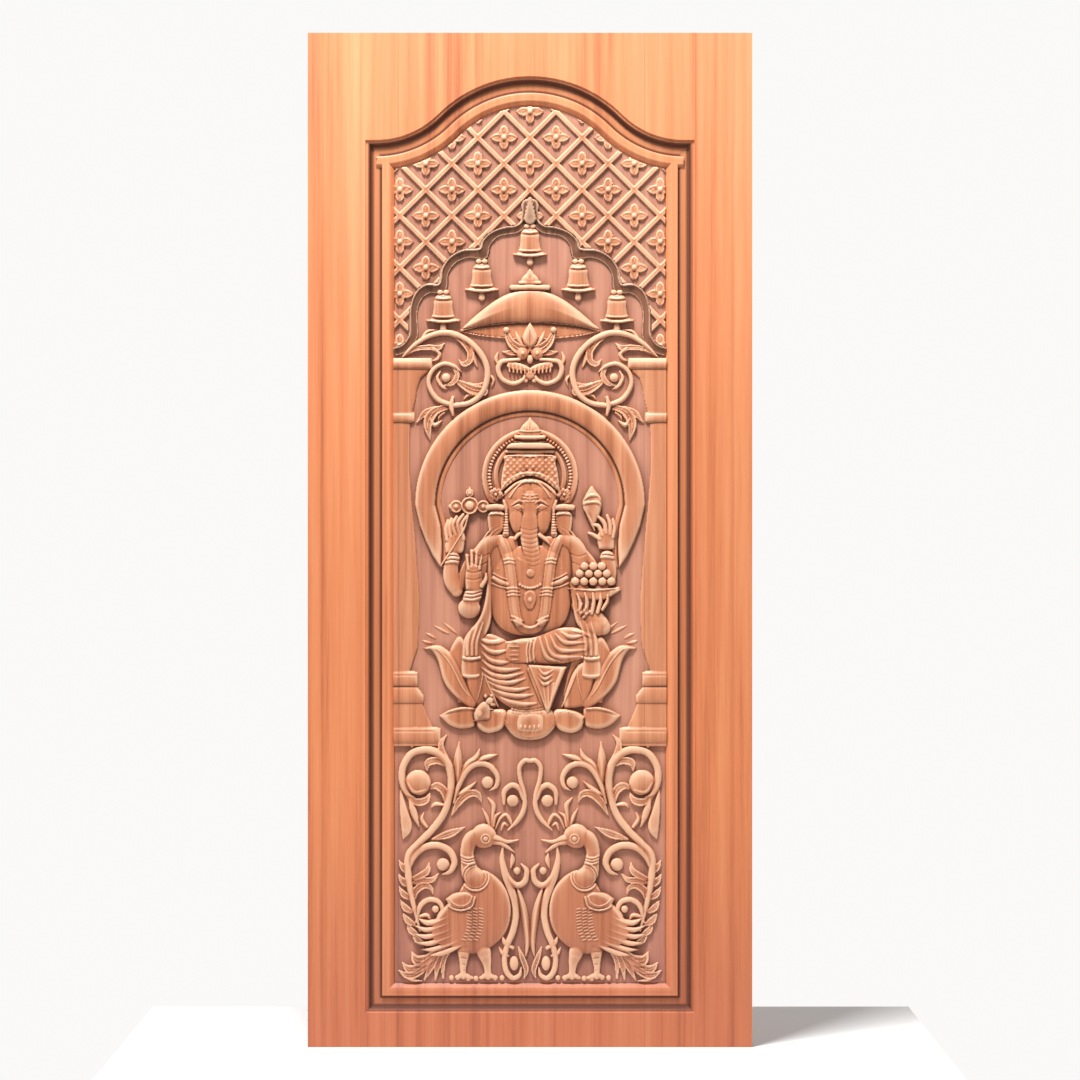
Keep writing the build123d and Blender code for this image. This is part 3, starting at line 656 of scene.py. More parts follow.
# The bells under the spike and the cusps: a two-lobed cap, a rounded shoulder, a body that flares to
# a thick rim, and the end of the clapper. Each is a half-round turned shape carved in place.
bells = Relief(-222, 222, 1478, 1712, 1.4)
BELL_SIDE = [(-31, 0), (-24, 11), (-21, 26), (-20, 42), (-15, 52), (-7, 57)]


def moved(place, *points):
    """Points laid out round a place."""
    return [(place[0] + x, place[1] + z) for x, z in points]


for rim in ((0, 1640), (-100, 1567), (100, 1567), (-180, 1503), (180, 1503)):
    bells.plate(moved(rim, *mirrored(BELL_SIDE), (0, -4)), 7.2, 1.6, 20)
    bells.stem(moved(rim, (-33, 2), (0, -1), (33, 2)), [2.6, 4.6, 2.6], 4.0, 7.0)
    bells.mark(moved(rim, (-26, 11), (0, 9), (26, 11)), 1.6, 1.6, 0.3)
    bells.score(moved(rim, (-28, 7), (0, 5), (28, 7)), 1.8, 1.8)
    bells.mark(moved(rim, (-18, 49), (0, 47), (18, 49)), 2.0, 1.8, 0.5)
    bells.score(moved(rim, (-19, 44), (0, 42), (19, 44)), 1.5, 1.4)
    for x, z in moved(rim, (-6, 60), (6, 60)):
        bells.dome(x, z, 7, 6, 4, 3.5)
    bells.stem(moved(rim, (0, -4), (0, -15)), [5.5, 7.5], 4, 2.5)
bells.carve("bells", CARVED_WOOD, BOARDS)


# The parasol: a broad smooth dome, its hollow underside seen below the front edge, a turned plate on
# top and a pointed finial. It is the plainest form of the carving and shows the grain best.
parasol = Relief(-150, 150, 1458, 1618, 1.2)
parasol.plate(mirrored([(-143, 1486), (-132, 1498), (-105, 1522), (-70, 1548), (-35, 1564), (0, 1568)])
              + mirrored([(90, 1495), (45, 1500), (0, 1501)]), 9, 4.5, 34)
parasol.plate(mirrored([(-143, 1484), (-90, 1494), (-45, 1499), (0, 1500)])
              + mirrored([(90, 1473), (45, 1469), (0, 1467)]), 1.2, 2.0, 4)
parasol.stem(mirrored([(-143, 1484), (-90, 1495), (0, 1501.5)]), 2.0, 1.8, 9.5)
parasol.stem(mirrored([(-142, 1482), (-90, 1472), (0, 1466)]), 1.5, 1.2, 3.6)
parasol.stem([(-37, 1573), (37, 1573)], 6.5, 4, 6.5)
parasol.stem([(-31, 1566), (31, 1566)], 2, 2, 9)
parasol.stem([(-20, 1583), (20, 1583)], 4.5, 3.5, 5)
parasol.stem([(0, 1583), (0, 1590), (0, 1600), (0, 1612)], [20, 14, 8, 1], 5, 3)
parasol.carve("parasol", CARVED_WOOD, ("middle_board",))


# The lotus crest under the parasol: a pointed bud between curled petals, two round curls under it,
# scrolls that turn in below and a comb of small petals with a drop, all carved with veined faces.
crest = Relief(-80, 80, 1362, 1506, 1.2)
crest.plate([(0, 1503), (-10, 1486), (-16, 1470), (-12, 1454), (0, 1446), (12, 1454), (16, 1470), (10, 1486)],
            7, 3, 9)
crest.stem([(-8, 1444), (-24, 1446), (-40, 1460), (-49, 1480)], [9, 11, 9, 5], 6, 2.5, "leaf")
crest.stem([(-14, 1452), (-24, 1466), (-30, 1484)], [5, 6, 1], 5, 2.5, "ridge")
crest.dome(-49, 1485, 7, 7, 6, 3)
crest.stem([(-20, 1440), (-40, 1438), (-58, 1440)], [8, 6, 1], 4, 2.5, "leaf")
crest.dome(-15, 1437, 14, 14, 6, 3)
crest.dome(-15, 1437, 6, 6, 2, 9)
crest.dome(0, 1424, 7, 10, 6, 3)
crest.stem([(-22, 1424), (-44, 1422), (-60, 1418), (-66, 1402), (-57, 1383), (-35, 1374), (-15, 1382),
            (-9, 1396)], [4, 5, 6, 6, 5.5, 5, 4.5, 2], 5, 3)
crest.stem([(-66, 1440), (-70, 1425), (-64, 1408)], [1, 5, 3], 3.5, 2, "ridge")
crest.plate([(-47, 1420), (-22, 1417), (0, 1407), (0, 1397), (-16, 1399), (-34, 1402), (-48, 1408)], 4, 3, 5)
for k in range(6):
    crest.stem([(-44 + 8 * k, 1414 - 1.6 * k), (-42 + 8 * k, 1399 - 0.8 * k)], [2.6, 3.2], 2.4, 6.5)
crest.dome(0, 1391, 11, 10, 5, 3)
crest.dome(-9, 1380, 6, 5, 3.5, 2.5)
crest.mirror()
crest.score([(0, 1496), (0, 1450)], 1.6, 1.6)
crest.carve("lotus_crest", CARVED_WOOD, ("middle_board",))


# The corner scrolls: one stem coils round a ball, with forked leaves along it, a collar and a tail
# of lobed leaves. Leaves are gouged to a vein; stems are left half round.
scrolls = Relief(-283, 283, 1246, 1492, 1.5)
scrolls.stem([(-264, 1430), (-238, 1455), (-205, 1474), (-168, 1479), (-128, 1462), (-99, 1431), (-88, 1396),
              (-97, 1359), (-123, 1335), (-160, 1328)], [2, 5, 6, 7, 7, 7, 7, 7, 6, 6], 5.5, 3)
scrolls.stem([(-160, 1328), (-192, 1342), (-210, 1372), (-203, 1400), (-180, 1415), (-157, 1410),
              (-142, 1398)], [6, 6, 5.5, 5, 5, 4.5, 1.5], 5, 3)
scrolls.stem([(-157, 1408), (-151, 1392), (-159, 1376), (-176, 1370)], [4, 6, 5.5, 3], 4, 2.6, "leaf")
scrolls.stem([(-186, 1400), (-192, 1385), (-182, 1368), (-170, 1362)], [2, 4, 4, 1], 3, 2)
scrolls.dome(-174, 1386, 10, 10, 6.5, 3)
scrolls.stem([(-160, 1345), (-163, 1328), (-160, 1310)], [4, 6.5, 4], 3, 7)
scrolls.stem([(-264, 1429), (-240, 1445), (-212, 1449), (-190, 1448), (-177, 1458)], [1, 5, 6, 6, 1], 4.5,
             2.5, "leaf")
scrolls.stem([(-200, 1447), (-188, 1436), (-192, 1425), (-204, 1421)], [6, 5, 4, 1], 4, 2.5, "ridge")
scrolls.stem([(-165, 1476), (-140, 1462), (-124, 1440), (-126, 1420), (-139, 1414), (-148, 1424)],
             [2, 7, 8, 7, 5, 1], 5, 2.5, "leaf")
scrolls.stem([(-122, 1444), (-116, 1424), (-108, 1406)], [7, 6, 1], 4, 2, "ridge")
scrolls.stem([(-96, 1376), (-112, 1369), (-130, 1377)], [2, 5, 1], 4, 2.5, "leaf")
scrolls.stem([(-96, 1358), (-118, 1361), (-140, 1372), (-158, 1384)], [10, 11, 8, 1], 5, 2.5, "leaf")
scrolls.stem([(-112, 1350), (-128, 1350), (-138, 1340)], [6, 5, 1], 3.5, 2, "ridge")
scrolls.stem([(-166, 1326), (-190, 1320), (-206, 1306), (-212, 1285), (-206, 1254)], [5, 8, 11, 9, 1], 5.5,
             2.5, "leaf")
scrolls.stem([(-196, 1322), (-218, 1312), (-236, 1292)], [6, 7, 1], 4.5, 2.5, "leaf")
scrolls.stem([(-206, 1300), (-198, 1288), (-183, 1297)], [4, 6, 1.5], 5, 3, "ridge")
scrolls.stem([(-178, 1314), (-188, 1306), (-190, 1296)], [4, 4, 1], 3, 2, "ridge")
scrolls.stem([(-88, 1396), (-76, 1382), (-80, 1366)], [4, 4, 1], 3.5, 2, "ridge")
scrolls.stem([(-226, 1466), (-212, 1482), (-192, 1486)], [3, 4, 1], 3, 2, "ridge")
scrolls.mirror()
scrolls.carve("corner_scrolls", CARVED_WOOD, BOARDS)


# The engaged columns at the sides of the field: a swelling shaft between ringed capitals and bases,
# half of each seen, rounded towards the middle of the door.
columns = Relief(-283, 283, 616, 1432, 1.9)
COLUMN_EDGE = 280
# How far the column reaches in from the side of the panel at each height.
PROFILE = ((616, 92), (629, 94), (630, 95), (661, 95), (663, 78), (690, 66), (711, 58), (712, 60), (728, 60),
           (744, 48), (746, 46), (747, 48), (777, 48), (779, 32), (800, 39), (827, 48), (880, 51), (924, 52),
           (980, 48), (1046, 43), (1120, 36), (1190, 31), (1260, 31), (1292, 32), (1294, 41), (1314, 41),
           (1316, 37), (1340, 43), (1365, 47), (1385, 54), (1398, 68), (1404, 72), (1405, 77), (1425, 77),
           (1432, 74))
reach = np.interp(columns.z, *zip(*PROFILE))[:, None]
from_edge = COLUMN_EDGE - np.abs(columns.x)[None, :]
round_off = np.sqrt(np.clip(1 - (from_edge / reach) ** 2, 0, 1))
ringed = np.zeros_like(columns.z)
RINGS = ((630, 661, 3.2), (712, 745, 2.6), (747, 777, 3.0), (1294, 1314, 2.8), (1405, 1425, 3.0))
for low, high, proud in RINGS:
    t = np.clip((columns.z - low) / (high - low), 0, 1)
    ringed = np.maximum(ringed, proud * np.sqrt(np.clip(1 - (2 * t - 1) ** 2, 0, 1)))
columns.lay(ALL, reach - from_edge, round_off * 4.2 + ringed[:, None], 1.8)
columns.h[(columns.z > 1427) | (columns.z < 622)] = SUNK
for z in (646, 762, 1304, 1415):
    for side in (-1, 1):
        columns.score([(side * 281, z + 8), (side * 200, z + 8)], 1.6, 1.2)
columns.carve("columns", CARVED_WOOD, BOARDS)


# The great ring behind the figure: a bevelled band that thins into two tails beside the arms, with a
# low lip inside it.
halo = Relief(-243, 243, 984, 1366, 1.6)
RING_Z, RING_OUT, RING_IN, LIP_IN, LIP_WIDTH = 1122, 239, 196, 184, 12
x, z = halo.x[None, :], halo.z[:, None]
radius = np.hypot(x, z - RING_Z)
outside = np.interp(halo.z, (995, 1016, 1048, 1079, RING_Z), (187, 202, 217, 229, RING_OUT))[:, None]
within = np.interp(halo.z, (995, 1040, 1079, RING_Z), (184, 182, 185, RING_IN))[:, None]
band = np.where(z > RING_Z, np.minimum(RING_OUT - radius, radius - RING_IN),
                np.minimum(outside - np.abs(x), np.abs(x) - within))
wide = np.where(z > RING_Z, RING_OUT - RING_IN, np.maximum(outside - within, 4.0))
halo.lay(ALL, band, 5.6 * np.sqrt(np.clip(1 - (1 - 2 * band / wide) ** 2, 0, 1)), 3.4)
lip = np.where(z > RING_Z, np.minimum(RING_IN + 1 - radius, radius - LIP_IN),
               np.minimum(within + 1 - np.abs(x), np.abs(x) - within + LIP_WIDTH))
halo.lay(ALL, lip, np.clip(lip / 4, 0, 1) * 1.2, 1.0)
halo.h[halo.z < 992] = SUNK
halo.carve("great_ring", CARVED_WOOD, BOARDS)


# The lotus seat: tall pointed petals behind, broad cupped petals along the foot, a round cushion for
# the foot, and a mouse on the left petals. Each petal is cut as a smooth form with a thick rolled rim.
seat = Relief(-232, 232, 628, 892, 1.5)
for points in (((-196, 846), (-206, 852), (-217, 857)), ((-168, 856), (-184, 864), (-201, 873)),
               ((-152, 856), (-165, 867), (-182, 880)), ((-202, 836), (-214, 838), (-224, 842))):
    seat.stem(points, [2, 4.2, 0.8], 1.4, 0.7, "ridge")
# Outline, rise, lift and margin of the petals of the left half.
PETALS = (
    ([(-150, 712), (-162, 760), (-170, 805), (-158, 838), (-145, 850), (-132, 832), (-122, 790), (-112, 712)],
     3.2, 2.2, 9),
    ([(-222, 826), (-206, 822), (-192, 800), (-181, 760), (-165, 735), (-140, 712), (-118, 700), (-108, 712),
      (-124, 736), (-138, 766), (-150, 792), (-165, 816), (-190, 832)], 5.0, 3.2, 8),
    ([(-112, 704), (-128, 740), (-133, 780), (-120, 800), (-100, 790), (-82, 760), (-70, 704)], 4.9, 3.3, 9),
    ([(-188, 685), (-166, 697), (-140, 704), (-112, 702), (-112, 676), (-118, 662), (-145, 658), (-168, 666)],
     4.8, 3.3, 9),
    ([(-114, 684), (-98, 694), (-72, 700), (-50, 696), (-50, 672), (-62, 655), (-88, 649), (-108, 660)], 6.0,
     4.5, 9),
)
for petal in PETALS:
    seat.plate(*petal)
ROLLED_RIMS = (
    ([(-218, 824), (-194, 824), (-174, 805), (-158, 780), (-140, 745), (-118, 715)], [1, 3, 3.5, 3.5, 3.5, 2],
     7.2),
    ([(-116, 706), (-106, 730), (-98, 770), (-100, 792)], [2, 3, 3, 1], 8.4),
    ([(-66, 704), (-78, 730), (-92, 764), (-100, 792)], [2, 3, 3, 1], 8.6),
    ([(-187, 685), (-166, 695), (-140, 701), (-116, 700)], [1.5, 3, 3.4, 3], 8.0),
    ([(-113, 684), (-96, 690), (-72, 695), (-54, 692)], [1.5, 3, 3.2, 3], 10.0),
)
for points, widths, lift in ROLLED_RIMS:
    seat.stem(points, widths, 2.6, lift)
seat.plate([(-138, 700), (-146, 750), (-134, 806), (-104, 812), (-84, 790), (-70, 700)], 1.4, 1.2, 5)
seat.mirror()
seat.plate(mirrored([(-56, 668), (-50, 690), (-36, 700)]) + mirrored([(32, 641), (0, 634)]), 5.6, 4.8, 18)
seat.stem([(-52, 676), (-30, 650), (0, 643), (30, 650), (52, 676)], 3.0, 1.8, 9.2)
seat.plate([(-116, 674), (-118, 690), (-110, 706), (-98, 716), (-84, 712), (-80, 694), (-84, 676)], 5.5, 8.5,
           12)
seat.stem([(-116, 676), (-95, 674), (-76, 677)], [3, 4, 3], 3, 8)
seat.dome(-84, 716, 12, 9, 5.0, 9.0, turn=38)
seat.stem([(-80, 710), (-70, 708)], [6, 2], 4, 8.5)
seat.dome(-92, 726, 5.5, 6.5, 4.0, 10.0)
seat.dome(-80, 727, 4.5, 6, 3.5, 9.5)
seat.stem([(-86, 700), (-74, 698)], [4, 2.5], 4, 9)
seat.dome(-104, 690, 9, 11, 2.0, 13.0)
seat.score([(-90, 713), (-84, 709)], 1.2, 1.2)
seat.carve("lotus_seat", CARVED_WOOD, ("middle_board",))


# The vines at both sides of the foot: a stem that rises from the tail feathers, coils round a big bud
# and throws off shoots, gouged leaves and a second coil towards the middle.
vines = Relief(-283, 283, 128, 664, 1.5)


def shoots(relief, rows):
    """Each row is a form, its rise, its points and its half widths."""
    for form, rise, points, widths in rows:
        relief.stem(points, widths, rise, 2.8, form)


shoots(vines, (
    ("round", 5.5, [(-228, 240), (-243, 300), (-252, 350), (-252, 395), (-232, 420), (-205, 447), (-180, 480),
                    (-168, 515), (-163, 550), (-170, 585), (-190, 607), (-215, 615), (-245, 607), (-263, 580),
                    (-265, 550), (-255, 525), (-238, 516)], [3, 6, 8, 8, 8, 8, 8, 8, 8.5, 9, 9, 8.5, 8, 8, 8,
                                                             6, 2]),
    ("round", 5.0, [(-254, 358), (-243, 390), (-222, 411), (-193, 417), (-167, 405), (-157, 382), (-166, 363),
                    (-182, 357)], [3, 7, 8, 8, 8, 7.5, 6, 2]),
    ("round", 5.0, [(-158, 505), (-146, 545), (-128, 575), (-105, 586), (-82, 580), (-68, 560), (-70, 540),
                    (-84, 531)], [3, 6, 7, 7, 6.5, 6, 5, 2]),
    ("round", 4.5, [(-236, 258), (-228, 290), (-210, 304), (-190, 300), (-182, 284), (-192, 271)],
     [3, 6, 6, 6, 5, 2]),
    ("leaf", 4.5, [(-170, 592), (-182, 612), (-184, 630), (-172, 646)], [5, 7, 6, 1]),
    ("ridge", 5.0, [(-149, 540), (-149, 570), (-149, 600), (-147, 632)], [4, 10, 9, 1]),
    ("ridge", 4.0, [(-145, 560), (-130, 585), (-112, 598), (-104, 618)], [4, 6, 7, 1]),
    ("ridge", 4.0, [(-112, 590), (-92, 598), (-66, 606)], [3, 7, 1]),
    ("leaf", 4.5, [(-162, 480), (-146, 508), (-126, 524), (-108, 522), (-100, 506)], [2, 8, 9, 7, 1.5]),
    ("ridge", 4.0, [(-152, 520), (-130, 533), (-110, 550)], [4, 6, 1]),
    ("leaf", 4.5, [(-172, 583), (-192, 592), (-211, 588), (-214, 570)], [5, 8, 8, 1.5]),
    ("leaf", 4.5, [(-170, 498), (-178, 528), (-194, 540), (-210, 533)], [5, 9, 8, 1]),
    ("leaf", 4.5, [(-202, 430), (-168, 440), (-134, 455)], [3, 9, 1]),
    ("leaf", 4.0, [(-258, 520), (-236, 507), (-216, 510), (-207, 526)], [2, 8, 8, 1]),
    ("round", 4.5, [(-268, 532), (-263, 495), (-256, 455), (-263, 430)], [2, 8, 12, 2]),
    ("round", 4.0, [(-250, 516), (-241, 485), (-230, 456)], [3, 8, 2]),
    ("leaf", 4.0, [(-278, 630), (-258, 633), (-240, 624)], [2, 6, 1]),
    ("leaf", 4.0, [(-244, 622), (-250, 643), (-238, 658), (-220, 655)], [3, 6, 6, 1]),
    ("leaf", 4.0, [(-248, 346), (-228, 354), (-213, 364), (-209, 382)], [3, 7, 7, 1]),
    ("leaf", 4.0, [(-248, 338), (-222, 344), (-202, 346), (-188, 360)], [3, 7, 6, 1]),
    ("leaf", 4.0, [(-242, 298), (-237, 322), (-220, 334), (-205, 328), (-201, 314)], [3, 8, 8, 5, 1]),
    ("ridge", 3.5, [(-176, 500), (-196, 502), (-206, 494)], [4, 5, 1]),
    ("ridge", 3.5, [(-214, 455), (-224, 470), (-220, 486)], [4, 5, 1]),
    ("ridge", 3.5, [(-236, 268), (-214, 272), (-206, 262)], [4, 5, 1]),
    ("leaf", 4.5, [(-188, 204), (-212, 182), (-234, 178), (-245, 196)], [5, 11, 11, 1.5]),
    ("leaf", 4.5, [(-196, 194), (-224, 166), (-250, 160), (-265, 174)], [5, 9, 9, 1.5]),
    ("leaf", 4.5, [(-203, 180), (-230, 154), (-253, 147), (-273, 158)], [4, 8, 8, 1.5]),
    ("leaf", 4.5, [(-188, 198), (-204, 168), (-219, 138)], [5, 8, 2]),
    ("leaf", 4.5, [(-178, 198), (-191, 170), (-196, 138)], [5, 7, 2]),
    ("leaf", 4.5, [(-168, 198), (-180, 176), (-180, 142)], [4, 6, 3]),
    ("ridge", 3.5, [(-262, 146), (-244, 138), (-222, 136)], [1, 5, 1]),
))
for x, z in ((-254, 372), (-255, 344), (-254, 318), (-251, 290), (-246, 264), (-238, 242), (-226, 224)):
    vines.stem([(x + 4, z - 10), (x - 8, z - 2), (x - 18, z + 14)], [5, 7.5, 1], 4.2, 2.6, "leaf")
vines.dome(-232, 547, 27, 27, 8, 3)
vines.mark([(-254, 548), (-240, 528), (-214, 532)], [1, 3, 1], 1.5, 0.3)
for x, z, r in ((-180, 377, 14), (-88, 547, 13), (-196, 285, 8)):
    vines.dome(x, z, r, r, 6.5, 3)
for x, z in ((-163, 142), (-150, 143), (-128, 141), (-112, 141), (-72, 142), (-58, 142)):
    vines.dome(x, z, 6, 6, 4, 2)
vines.mirror()
vines.carve("vines", CARVED_WOOD, BOARDS)


# The birds: two birds facing each other, each with a turned head, a collar, a saddle cloth on its
# back, rows of wing feathers, a rounded breast and scaled legs on the foot of the panel.
birds = Relief(-242, 242, 130, 520, 1.4)
birds.plate([(-128, 352), (-100, 366), (-70, 352), (-47, 322), (-39, 280), (-48, 240), (-74, 210),
             (-110, 192), (-150, 196), (-186, 214), (-180, 250), (-160, 290), (-145, 325)], 7.2, 3.0, 40)
birds.plate([(-172, 296), (-150, 304), (-118, 302), (-101, 285), (-100, 262), (-103, 240), (-115, 215),
             (-140, 204), (-170, 206), (-196, 214), (-206, 236), (-200, 258), (-188, 278)], 2.4, 7.6, 9)
WING_FEATHERS = (
    ((-150, 282), (-186, 262), (-212, 256), (-236, 268)),
    ((-146, 268), (-184, 250), (-214, 242), (-242, 252)),
    ((-140, 254), (-180, 237), (-214, 228), (-243, 234)),
    ((-134, 241), (-174, 225), (-208, 214), (-239, 216)),
    ((-130, 228), (-164, 213), (-198, 202), (-228, 201)),
    ((-126, 217), (-156, 204), (-186, 193), (-212, 189)),
)
for points in WING_FEATHERS:
    birds.stem(points, [2, 6.5, 7.5, 1], 2.8, 8.4, "ridge")
for row in range(3):
    for k in range(11):
        z = 286 - 6.4 * k
        x = -101 - 12 * row - 0.012 * max(0, 262 - z) ** 2 * 0.6
        birds.mark([(x - 4, z + 1), (x + 4, z - 1)], 1.5, 1.2, 0.3)
birds.plate([(-176, 306), (-166, 290), (-142, 284), (-120, 292), (-114, 312), (-132, 322), (-158, 318)], 1.8,
            10.0, 6)
birds.mark([(-176, 304), (-164, 289), (-142, 283), (-121, 291), (-114, 310)], 2.2, 1.8, 0.8)
birds.mark([(-169, 307), (-158, 297), (-142, 292), (-126, 299), (-121, 311)], 1.4, 1.2, 0.4)
birds.stem([(-104, 438), (-122, 428), (-130, 408), (-129, 386), (-124, 362), (-108, 342)],
           [17, 17, 15, 15, 19, 24], 7.4, 3.0)
birds.dome(-96, 436, 27, 26, 8.4, 3.2)
birds.stem([(-78, 432), (-66, 429), (-50, 424), (-24, 428)], [11, 8, 5.5, 1.5], 6, 3.5)
birds.stem([(-74, 424), (-60, 421), (-46, 413), (-31, 401)], [7, 5.5, 4.5, 1.2], 5, 3)
birds.score([(-76, 428), (-60, 425), (-44, 419)], 1.5, 1.8)
birds.hoop(-92, 431, 9, 1.7, 1.2, 0.3, on=True)
birds.dome(-92, 431, 5.2, 5.0, 1.8, 0.4, on=True)
for z in (395, 389, 383):
    birds.mark([(-146, z + 2), (-129, z - 4), (-112, z)], 2.0, 1.5, 0.4)
birds.dome(-113, 352, 23, 21, 1.2, 0.2, on=True)
birds.hoop(-113, 352, 28, 2.2, 1.8, 0.5, on=True)
birds.hoop(-113, 352, 22.5, 1.6, 1.2, 0.3, on=True)
birds.stem([(-137, 202), (-138, 180), (-139, 158), (-138, 146)], [15, 10, 7, 8], 6.5, 3)
birds.stem([(-152, 143), (-138, 147), (-120, 142)], [4, 7, 4], 4, 3)
birds.stem([(-96, 196), (-90, 176), (-88, 160), (-87, 146)], [16, 11, 8, 9], 6.5, 3)
birds.stem([(-102, 142), (-88, 147), (-70, 142)], [4, 7, 4], 4, 3)
for points, widths in (([(-84, 458), (-90, 476), (-99, 494)], [4, 5, 1]),
                       ([(-79, 458), (-77, 480), (-76, 500), (-87, 515)], [4, 4.5, 6, 2]),
                       ([(-76, 456), (-72, 476), (-60, 486)], [4, 4.5, 1]),
                       ([(-72, 450), (-62, 472), (-50, 480), (-41, 468), (-37, 454)], [2, 3.5, 4.5, 4.5, 1]),
                       ([(-60, 448), (-54, 462), (-44, 456)], [2, 4, 1])):
    birds.stem(points, widths, 3.4, 2.4, "ridge")
birds.mirror()
for side in (-1, 1):
    for k in range(4):
        birds.score([(side * (146 - 3 * k), 198 - 13 * k), (side * (129 + 2 * k), 196 - 13 * k)], 1.3, 1.2)
birds.carve("birds", CARVED_WOOD, ("middle_board",))


# The scrolls between the birds: mirrored stems that meet on the middle line, a long loop at the top,
# a coil on a bud at half height and tall stems that turn in on buds at the foot.
centre = Relief(-72, 72, 132, 600, 1.3)
shoots(centre, (
    ("round", 5.0, [(0, 592), (-12, 592), (-22, 578), (-20, 552), (-12, 522), (-12, 494), (-24, 470),
                    (-46, 448)], [5, 5.5, 5.5, 5.5, 5.5, 6, 5.5, 2]),
    ("round", 5.0, [(-54, 504), (-53, 528), (-38, 541), (-22, 534), (-13, 512)], [4, 6, 6.5, 6.5, 5]),
    ("round", 5.0, [(-56, 416), (-58, 388), (-52, 358), (-42, 332), (-32, 302), (-29, 272), (-35, 240),
                    (-46, 212), (-53, 182), (-49, 156), (-36, 142), (-22, 148), (-18, 164)],
     [2, 6, 8, 8.5, 8, 7.5, 7.5, 7, 6.5, 6.5, 6, 5, 2]),
    ("round", 4.6, [(-54, 384), (-46, 352), (-28, 334), (-11, 342), (-7, 364), (-18, 378)],
     [3, 6, 7, 7, 6, 2.5]),
    ("ridge", 4.5, [(-26, 330), (-15, 290), (-8, 250), (-5, 215), (-9, 186)], [3, 8, 8, 7, 1.5]),
    ("ridge", 4.5, [(-58, 230), (-50, 212), (-36, 204)], [1, 7, 5]),
    ("ridge", 4.0, [(-64, 206), (-56, 192), (-46, 188)], [1, 6, 4]),
    ("leaf", 4.0, [(-24, 206), (-16, 184), (-8, 160), (-12, 142)], [2, 6, 6, 2]),
    ("ridge", 3.5, [(-38, 402), (-36, 386), (-40, 370)], [1, 6, 2]),
))
for x, z, r in ((-36, 509, 13), (-27, 364, 8)):
    centre.dome(x, z, r, r, 5.5, 2.8)
centre.dome(-33, 172, 10, 16, 6.5, 2.8)
centre.mirror()
centre.carve("centre_scrolls", CARVED_WOOD, ("middle_board",))


# The seated figure: an elephant-headed deity under a beaded ring, crowned, with a garland, a sash
# and four arms, its right leg folded and its left foot down on the cushion. All of it is carved in the
# boards; the trunk, belly and knees stand highest and are painted paler, a painted highlight.
deity = Relief(-186, 190, 644, 1308, 1.35)
BEADS_Z, BEADS_RADIUS, BEADS_LOW, BEADS = 1181, 84.5, 1126, 54
deity.hoop(0, BEADS_Z, 94, 6.5, 2.8, 2.2, low=BEADS_LOW)
deity.hoop(0, BEADS_Z, BEADS_RADIUS, 5.5, 0.4, 1.4, low=BEADS_LOW, form="flat")
for k in range(BEADS):
    a = math.radians(-34 + 248 * k / (BEADS - 1))
    deity.dome(BEADS_RADIUS * math.cos(a), BEADS_Z + BEADS_RADIUS * math.sin(a), 3.4 + 1.3 * abs(math.cos(a)),
               3.3, 3.4, 1.6, turn=math.degrees(a))
deity.hoop(0, BEADS_Z, 71, 5.5, 2.4, 2.0, low=BEADS_LOW)


def both_sides(method, points, *values, **options):
    """The same form on the figure's left and right."""
    for side in (-1, 1):
        getattr(deity, method)([(side * x, z) for x, z in points], *values, **options)


# Beside the head: folded ends, the ears with a roll above them, tassels and a rosette each side.
both_sides("stem", [(56, 1078), (74, 1068), (88, 1052), (104, 1036)], [6, 9, 9, 3], 3.2, 4.2, "fold")
both_sides("plate", [(52, 1104), (60, 1112), (78, 1112), (88, 1100), (88, 1082), (84, 1064),
                     (72, 1058), (56, 1070)], 1.6, 4.8, 6)
both_sides("stem", [(50, 1116), (70, 1118), (88, 1117)], [6, 7.5, 6.5], 4.0, 5.0)
both_sides("mark", [(56, 1103), (70, 1105), (86, 1103)], 2.2, 1.6, 0.4)
both_sides("stem", [(54, 1130), (50, 1118), (49, 1108)], [4, 5, 4], 3, 6)
both_sides("stem", [(49, 1108), (49, 1085), (50, 1062)], [4.0, 5.4, 7.5], 2.5, 6.2)
for k in range(8):
    both_sides("mark", [(44 - 0.3 * k, 1103 - 5.6 * k), (54 + 0.3 * k, 1103 - 5.6 * k)], 2.1, 1.5, 0.2)
for x in (-71, 71):
    for k in range(8):
        deity.stem(ray(x, 1144, 45 * k + 12, 4, 9, 15), [2, 4.4, 0.6], 3.4, 4.0, "leaf")
    deity.dome(x, 1144, 4.6, 4.6, 2.8, 6.2)
# The chest.
both_sides("plate", [(26, 1058), (62, 1056), (84, 1040), (88, 1010), (86, 955), (60, 950), (20, 960)],
           4.5, 3.6, 24)
for side in (-1, 1):
    deity.dome(side * 66, 990, 3.2, 3.2, 1.6, 0.2, on=True)
# The crown: a quilted cap, bands one above the other and a pointed knob.
deity.plate(mirrored([(-60, 1150), (-61, 1168), (-59, 1188), (-54, 1208), (-47, 1227)])
            + mirrored([(30, 1172), (0, 1182)]), 3.8, 5.0, 24)
QUILT, QUILT_RISE, CAP_HALF, CAP_LOW, CAP_HIGH = 6.6, 1.5, 57, 1160, 1222
x, z = deity.x[None, :], deity.z[:, None]
cap = (np.abs(x) < CAP_HALF) & (z > CAP_LOW) & (z < CAP_HIGH) & (deity.h > 5.6)
quilt = np.abs(np.sin((x + z) / QUILT * math.pi / 2) * np.sin((x - z) / QUILT * math.pi / 2))
deity.h = np.where(cap, deity.h + QUILT_RISE * quilt - 0.5, deity.h)
deity.stem([(-46, 1225), (0, 1223.5), (46, 1225)], [2.6, 3.0, 2.6], 2.2, 8.4)
deity.stem([(-48, 1233), (0, 1232), (48, 1233)], [4.5, 5.0, 4.5], 0.6, 7.2)
